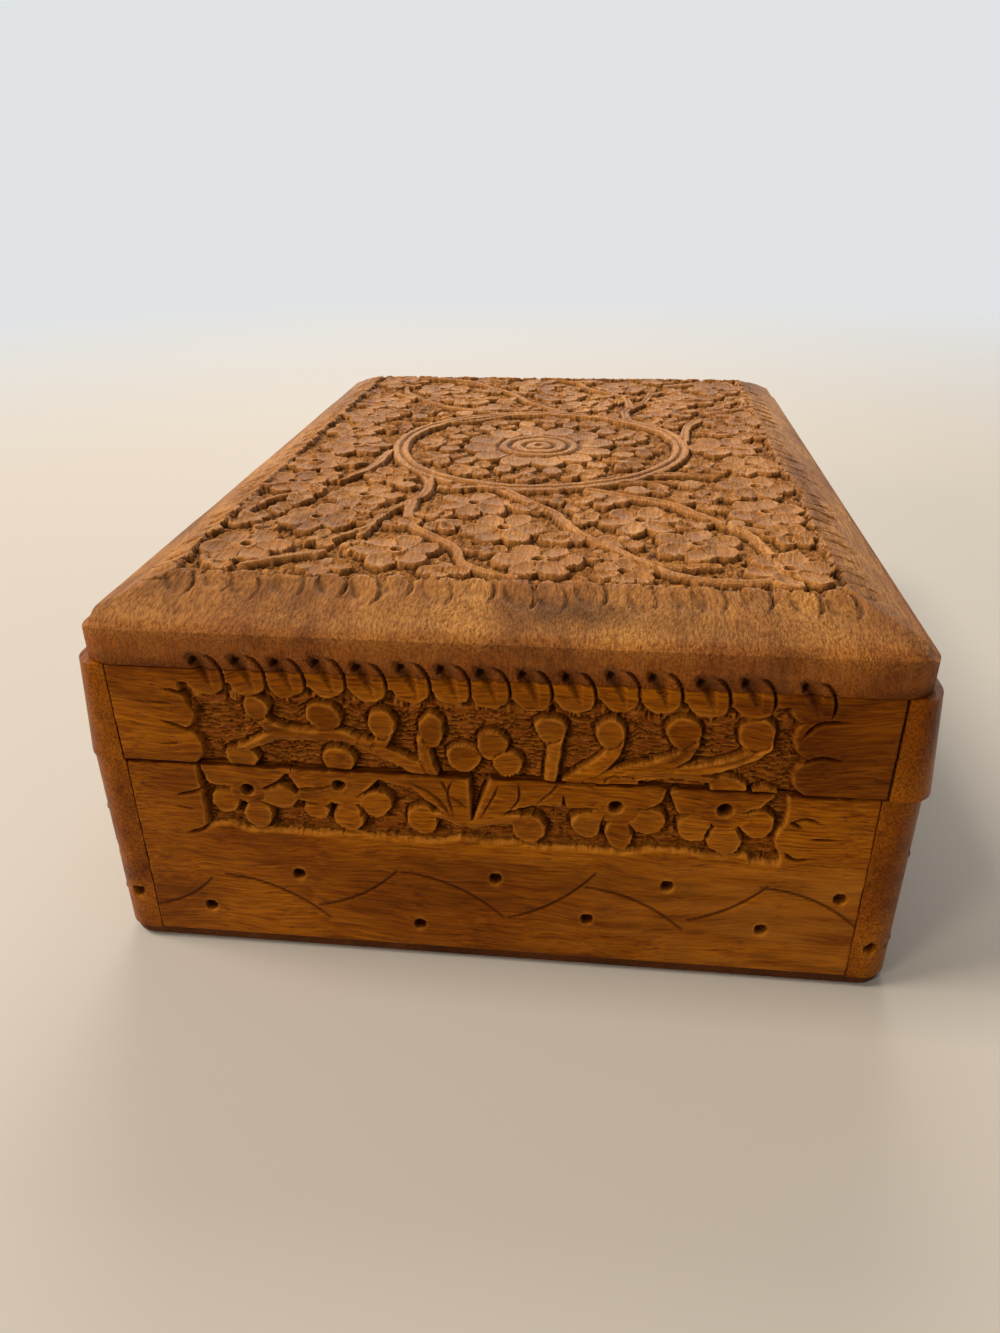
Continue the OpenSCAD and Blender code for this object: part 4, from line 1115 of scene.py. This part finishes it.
def draw_top(sheet):
    """Everything on the flat field, both halves."""
    for points, thick, thin, groove in TOP_STEMS:
        for half in (0, 1):
            line = [list(both_halves(u, v))[half][:2] for u, v in points]
            sheet.vine(line, 0.74 * thick, 0.8 * thin, groove, merge=True)
    draw_rosette(sheet)
    for u, v, size, turn in TOP_BUDS:
        for bu, bv, angle in both_halves(u, v, math.radians(turn)):
            sheet.flower(bu, bv, size * 1.15, angle, petals=(-58, 0, 58), cup=0.3, drill=0)
    for u, v, reach, turn in TOP_FLOWERS:
        for fu, fv, angle in both_halves(u, v, math.radians(turn)):
            sheet.flower(fu, fv, reach, angle)
    for u, v, r in TOP_BERRIES:
        for bu, bv, _ in both_halves(u, v):
            sheet.lobe(bu, bv, r, r)
    sheet.hole(44.0, -74.0, 0.9, 2.4)


print("motifs on half the top:", len(TOP_FLOWERS) + len(TOP_BUDS) + len(TOP_BERRIES))

# %% [markdown]
# Along the top of each bevel runs a border of bead-shaped lobes with a curved cut beside each. The
# board's upright edge takes the upper half of the beads on the lid's band, because the knife ran
# across the seam.

# %% Border of the top board
TOP_HALF_W, TOP_HALF_L, TOP_Z, TOP_R = 73.0, 101.75, 76.0, 6.5
BEVEL_W, BEVEL_DROP = 13.5, 5.5
FIELD_W, FIELD_L = TOP_HALF_W - BEVEL_W, TOP_HALF_L - BEVEL_W
SIDES = (((1, 0), (0, -1), FIELD_L, FIELD_W, 18), ((0, 1), (1, 0), FIELD_W, FIELD_L, 27),
         ((-1, 0), (0, 1), FIELD_L, FIELD_W, 18), ((0, -1), (-1, 0), FIELD_W, FIELD_L, 27))


def draw_border(sheet):
    """Worn beads on the bevel's upper half. Each leans along its side and has a crescent stop cut
    on its right."""
    for along, out, reach, length, count in SIDES:
        for spot in (np.arange(count) - (count - 1) / 2) * (2 * length + 3) / count:
            jitter = (sheet.random.random(3) - 0.5) * (3.4, 2.2, 1.4)
            beads = [(0.0, 2.6), (1.7, -0.9), (3.0, 1.4), (3.2, 3.9), (2.1, 5.9),
                     (-2.3, 0.4), (-1.6, 2.6), (-0.4, 4.8)]
            along_to, out_to = np.array(beads).T + ((spot + jitter[0],), (reach + jitter[1],))
            places = np.outer(along_to, along) + np.outer(out_to, out)
            turn = math.atan2(out[1], out[0]) + 0.6 + jitter[2]
            force = 0.35 + 0.65 * sheet.random.random()
            sheet.lobe(*places[0], 3.5 + jitter[1], 2.5, turn, cup=0.2, tilt=0.3)
            sheet.knife(places[1:5], 0.5, 0.95 * force, -0.5, mark=0.8 * force)
            sheet.knife(places[5:8], 0.9, 0.6 * force, 0.3)


def top_edge_sheet(beads, us, vs):
    """The upper halves of the beads, on the board's upright edge."""
    sheet = Sheet(us, vs, 35)
    draw_beads(sheet, beads)
    sheet.depth(0.0)
    return sheet


print("bevel slope, degrees:", round(math.degrees(math.atan2(BEVEL_DROP, BEVEL_W)), 1))

# %% [markdown]
# The board's upper face is one grid over its whole plan. In the four corner squares the grid is bent
# to the rounded outline. Its height is the flat, less the bevel, less the carving. The grid is cut at
# the board's two middles into four closed pieces, because one would hold too many triangles. From a
# piece's border rings of points go down, and one large face closes its underside.


# %% Build the top board
EDGE_ROWS = np.concatenate([np.arange(SEAM, 66.7, 0.28), [67.0, 67.5]])
EDGE_LEVELS = np.append(EDGE_ROWS[::-1], EDGE_ROWS[0])      # the last ring starts the plain underside


def spaced(field, bevel_end, fine):
    """Grid lines from the middle: fine over the field, wider down the bevel, mirrored."""
    inner = np.linspace(0, field, int(round(field / fine)) + 1)
    upper = field + np.linspace(0, 7.0, 14)[1:]
    lower = np.linspace(field + 7.0, bevel_end, 8)[1:]
    half = np.concatenate([inner, upper, lower])
    return np.concatenate([-half[:0:-1], half])


def rounded_corners(x, y):
    """Bends the corner squares: local p, q go to p sqrt(1 - q q / 2), q sqrt(1 - p p / 2)."""
    cx, cy = TOP_HALF_W - TOP_R, TOP_HALF_L - TOP_R
    p, q = np.clip((np.abs(x) - cx) / TOP_R, 0, 1), np.clip((np.abs(y) - cy) / TOP_R, 0, 1)
    both = (p > 0) & (q > 0)
    x2 = np.where(both, np.sign(x) * (cx + TOP_R * p * np.sqrt(1 - q * q / 2)), x)
    y2 = np.where(both, np.sign(y) * (cy + TOP_R * q * np.sqrt(1 - p * p / 2)), y)
    return x2, y2


def bevel_height(x, y):
    """Height of the uncarved board: TOP_Z less a straight slope over BEVEL_W from the outline, with
    a rounded shoulder above the upright edge, larger on the long sides."""
    dx, dy = np.abs(x) - (TOP_HALF_W - TOP_R), np.abs(y) - (TOP_HALF_L - TOP_R)
    outside = np.hypot(np.maximum(dx, 0), np.maximum(dy, 0)) + np.minimum(np.maximum(dx, dy), 0)
    t = np.clip(1 - (TOP_R - outside) / BEVEL_W, 0, 1)
    long_side = smooth((dx - dy) / 6 + 0.5)
    shoulder = (0.6 + 1.3 * long_side) * np.clip((t - 0.91 + 0.11 * long_side) / 0.09, 0, 1) ** 2
    return TOP_Z - BEVEL_DROP * t - np.minimum(shoulder, 2.3)


def top_drawing(xs, ys):
    """The drawing of the whole upper face, on the grid lines given, with its depths worked out."""
    sheet = Sheet(xs, ys, 31, unsteady=1.1)
    out = np.maximum(np.abs(sheet.u) - FIELD_W, np.abs(sheet.v) - FIELD_L)
    waver = cloudy(sheet.u / 4 + 50, sheet.v / 4 + 50, 31) - 0.5
    comb = 0.8 * (cloudy(sheet.u / 0.7 + 20, sheet.v / 2.5 + 20, 37) - 0.5)
    upper_bevel = 0.14 * smooth((4.6 - out + waver) / 2.4) * (out > -1.6)
    sheet.into = np.clip(smooth((-out + 2 * waver + comb) / 1.2) + upper_bevel, 0, 1)
    draw_top(sheet)
    draw_border(sheet)
    fuzz = 0.55 * ridged(cloudy(sheet.u / 0.75 + 60, sheet.v / 2.4 + 60, 32))
    fuzz = fuzz + 0.45 * ridged(cloudy(sheet.u / 1.9 + 90, sheet.v / 1.9 + 90, 33)) - 0.35
    speck = cloudy(sheet.u / 0.5 + 60, sheet.v / 0.9 + 60, 39) * sheet.into * smooth(sheet.edge / 0.3)
    sheet.line = np.maximum(sheet.line, 0.7 * smooth((speck - 0.7) / 0.12))
    teeth = smooth((ridged(cloudy(sheet.u / 0.62 + 9, sheet.v / 0.9 + 9, 43)) - 0.3) / 0.3)
    teeth = teeth * np.exp(-(((out - 2 * waver + 0.1) / 0.8) ** 2)) * (sheet.edge > -0.1)
    # Notches along the field's edge, with painted shade in them.
    sheet.cut = np.maximum(sheet.cut, 0.5 * teeth)
    sheet.line = np.maximum(sheet.line, 0.85 * teeth)
    torn = 0.8 * smooth((cloudy(sheet.u / 0.6 + 10, sheet.v / 0.8 + 10, 40) - 0.55) / 0.3)
    sheet.raw_and_highlight = torn * sheet.into * (sheet.edge > 0)
    sheet.depth(1.3, wall=0.6, strokes=0.8 * fuzz)
    lumps = 0.22 * cloudy(sheet.u / 1.7 + 4, sheet.v / 1.7 + 4, 41) * smooth(-out / 3 + 0.7)
    deep = sheet.deep + lumps + 0.2 * (cloudy(sheet.u / 14 + 8, sheet.v / 14 + 8, 34) - 0.3)
    fade = smooth((TOP_HALF_W - np.abs(sheet.u)) / 2.0) * smooth((TOP_HALF_L - np.abs(sheet.v)) / 2.0)
    sheet.deep = np.clip(deep * fade, 0, None)
    return sheet


def around_edges(four):
    """Rows by points of the ring round a quarter's edge, from the four edges' (points, rows) arrays.
    A corner takes the larger value of its two edges, and the last ring, on the underside, has none."""
    corners = [np.maximum(now[:1], before[-1:]) for now, before in zip(four, four[-1:] + four[:-1])]
    ring = np.concatenate([np.vstack([corner, now[1:-1]]) for corner, now in zip(corners, four)])
    return np.vstack([ring[:, ::-1].T, np.zeros((1, len(ring)))])


def top_board(sheet, tones, end, side):
    """A quarter of the carved top board as one closed mesh, cut at the board's two middles."""
    columns = np.flatnonzero(sheet.us <= 0 if side == "left" else sheet.us >= 0)
    rows = np.flatnonzero(sheet.vs <= 0 if end == "near" else sheet.vs >= 0)
    part = (slice(columns[0], columns[-1] + 1), slice(rows[0], rows[-1] + 1))
    xs, ys = sheet.us[part[0]], sheet.vs[part[1]]
    x, y = rounded_corners(sheet.u[part], sheet.v[part])
    points = np.stack([x, y, bevel_height(x, y) - sheet.deep[part]], -1).reshape(-1, 3)

    index = np.arange(len(points)).reshape(len(xs), len(ys))
    quads = [np.stack([index[:-1, :-1], index[1:, :-1], index[1:, 1:], index[:-1, 1:]], -1).reshape(-1, 4)]
    last = np.concatenate([index[:-1, 0], index[-1, :-1], index[:0:-1, -1], index[0, :0:-1]])
    rim = points[last, :2]
    straight = np.array([TOP_HALF_W - TOP_R, TOP_HALF_L - TOP_R])
    middle = np.clip(rim, -straight, straight)
    off = np.linalg.norm(middle - rim, axis=1, keepdims=True)
    inward = (middle - rim) / np.maximum(off, 1e-6)
    to_middle = rim.mean(0) - rim
    to_middle /= np.linalg.norm(to_middle, axis=1, keepdims=True)

    edges = {"near": xs, "right": ys, "far": -xs[::-1], "left": -ys[::-1]}
    drawn = [top_edge_sheet(BEADS[name] if name in (end, side) else BEADS[name][:0], us, EDGE_ROWS)
             for name, us in edges.items()]
    cuts, lines = (around_edges([getattr(s, kind) for s in drawn]) for kind in ("deep", "line"))
    stack = [points]
    for level, deep in zip(EDGE_LEVELS, cuts):
        ring = sum(len(s) for s in stack) + np.arange(len(last))
        here = rim + inward * np.clip(deep + 0.2 * (level == EDGE_ROWS[0]), 0, 2.2)[:, None]
        if len(stack) == len(EDGE_LEVELS):
            here = rim + 2.4 * inward + 0.3 * to_middle
        stack.append(np.column_stack([here, np.full(len(last), level)]))
        quads.append(np.stack([ring, np.roll(ring, -1), np.roll(last, -1), last], -1))
        last = ring
    levels = EDGE_LEVELS[:, None] + 0 * cuts
    seen = np.outer(np.arange(len(levels)) < len(levels) - 1, off[:, 0] > 1e-6)
    streaks = seen * cloudy(np.arange(len(last))[None, :] / 1.6 + 0 * levels, levels / 4 + 9, 42)
    # On the upright edge: painted shade in the beads' cuts, streaks along the grain, darker towards its
    # bottom, and darker and warmer all over.
    lower = seen * np.clip((66.2 - levels) / 3, 0, 1)
    extra = {"ground": 0 * cuts, "shade_and_grime": np.clip(cuts * 0.4 + 0.35 * streaks + 0.25 * lower, 0, 1),
             "wear_and_highlight": 0.3 * streaks * (1 - lower), "dark_lines_and_shade": lines, "outer_darkening": 1 + 0 * cuts}
    tones = {k: np.concatenate([t[part].ravel(), extra[k].ravel()]) for k, t in tones.items()}
    points = np.vstack(stack) + (LID_SHIFT, 0, 0)
    board = make_mesh(f"carved_top_board_{end}_{side}", points, np.vstack(quads), [last[::-1]], tones,
                      top_wood)
    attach(board, "lid")
    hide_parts("lid_top_board")


top_us, top_vs = spaced(FIELD_W, TOP_HALF_W, 0.325), spaced(FIELD_L, TOP_HALF_L, 0.30)
far_vs = spaced(FIELD_L, TOP_HALF_L, 0.36)
top_sheet = top_drawing(top_us, np.concatenate([top_vs[top_vs < 0], far_vs[far_vs >= 0]]))
top_tones = top_sheet.tones(1.3, upward_light_share=0.0)
stain = np.exp(-(((top_sheet.u - 14) / 11) ** 2 + ((top_sheet.v + 95) / 3.0) ** 2))
stain = stain * (0.5 + 0.6 * cloudy(top_sheet.u / 2 + 9, top_sheet.v / 2 + 9, 38))
top_tones["shade_and_grime"] = np.clip(top_tones["shade_and_grime"] + stain, 0, 1)
past_field = np.maximum(np.abs(top_sheet.u) - FIELD_W, np.abs(top_sheet.v) - FIELD_L)
ragged_edge = 2.5 * cloudy(top_sheet.u / 7 + 3, top_sheet.v / 7 + 3, 44)
# The bevel's outer part is made darker and warmer.
top_tones["outer_darkening"] = 0.45 * smooth((past_field - 9.0 - ragged_edge) / 3.0)
for end in ("near", "far"):
    for side in ("left", "right"):
        top_board(top_sheet, top_tones, end, side)

# %% [markdown]
# ## Bottom board
# A thin dark board nailed under the walls. It is a plate with rounded corners and a softened lower
# edge. Its brads sit deeper than its lower face, and the small holes over their heads are left out,
# since they are only seen from below.


# %% Build the bottom board
BOTTOM_IN = 0.6
BOTTOM_LEVELS = ((0.0, 0.9), (0.12, 0.45), (0.45, 0.12), (0.9, 0.0), (2.0, 0.0), (BOTTOM_T, 0.0))


def bottom_board():
    """A ring of outline points at levels of (height, how far in), closed above and below by one
    face each."""
    half_w, half_l, r = TRAY_HALF_W - BOTTOM_IN, TRAY_HALF_L - BOTTOM_IN, CORNER_R - BOTTOM_IN
    turn = np.linspace(0, QUARTER, 9)
    quarter = np.column_stack([half_w - r + r * np.cos(turn), half_l - r + r * np.sin(turn)])
    outline = np.vstack([quarter, quarter[::-1] * (-1, 1), quarter * (-1, -1), quarter[::-1] * (1, -1)])
    span = np.array([half_w, half_l])
    rings = [np.column_stack([outline * (span - inset) / span, np.full(len(outline), z)])
             for z, inset in BOTTOM_LEVELS]
    index = np.arange(len(rings) * len(outline)).reshape(len(rings), -1)
    quads = np.stack([index[:-1], np.roll(index, -1, 1)[:-1], np.roll(index, -1, 1)[1:], index[1:]], -1)
    points = np.vstack(rings)
    tones = {"ground": np.zeros(len(points))}
    caps = [index[0][::-1], index[-1]]
    board = make_mesh("bottom_plate", points, quads.reshape(-1, 4), caps, tones, bottom_wood)
    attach(board, "base")
    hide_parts("bottom_board")


bottom_board()

# %% [markdown]
# ## Brass hinges and iron brads
# The hinge leaves, pins and screws are stamped and turned brass, dulled brown in the corners by
# handling. The brads are mild steel, gone dark grey with rust round the head. Their CAD shapes are
# right, so they keep them and only get a finish.


# %% Aged brass and dull iron
def aged_metal(name, bright, tarnish, patch_mm, rough):
    """Metal with cloudy tarnish: noise of patch_mm decides between the two colours."""
    material, tree, shader = new_material(name)
    place = add(tree, "TexCoord", out="Object")
    patches = add(tree, "TexNoise", {"Vector": place, "Scale": 1 / (patch_mm * MM), "Detail": 5.0,
                                     "Roughness": 0.65})
    scratches = add(tree, "Mapping", {"Vector": place,
                                      "Scale": (1 / (0.25 * MM), 1 / (4 * MM), 1 / (0.25 * MM))})
    scratches = add(tree, "TexNoise", {"Vector": scratches, "Scale": 1.0})
    amount = add(tree, "MapRange", (patches, 0.25, 0.85))
    tone = add(tree, "Mix", {0: amount, 6: colour(bright), 7: colour(tarnish)}, 2, data_type="RGBA")
    tree.links.new(tone, shader.inputs["Base Color"])
    rough = add(tree, "MapRange", (patches, 0.3, 0.75, rough, rough + 0.3))
    tree.links.new(rough, shader.inputs["Roughness"])
    shader.inputs["Metallic"].default_value = 1.0
    bump = add(tree, "Bump", {"Height": scratches, "Distance": 0.03 * MM, "Strength": 0.5})
    tree.links.new(bump, shader.inputs["Normal"])
    return material


brass = aged_metal("aged_brass", "#c79a4e", "#6b4a22", 3.0, 0.28)
iron = aged_metal("dull_mild_steel", "#6d6660", "#3a261c", 0.9, 0.45)
for node_name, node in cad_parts.items():
    metal = brass if "hinge" in node_name else iron if "brads" in node_name else None
    if metal is not None:
        node.data.materials.clear()
        node.data.materials.append(metal)
print("metal nodes:", sum("hinge" in n or "brads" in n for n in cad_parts))

# %% [markdown]
# ## View settings
# The finished model has to stay inside the CAD model's box.

# %% View settings
bpy.context.scene.view_settings.view_transform = "Standard"
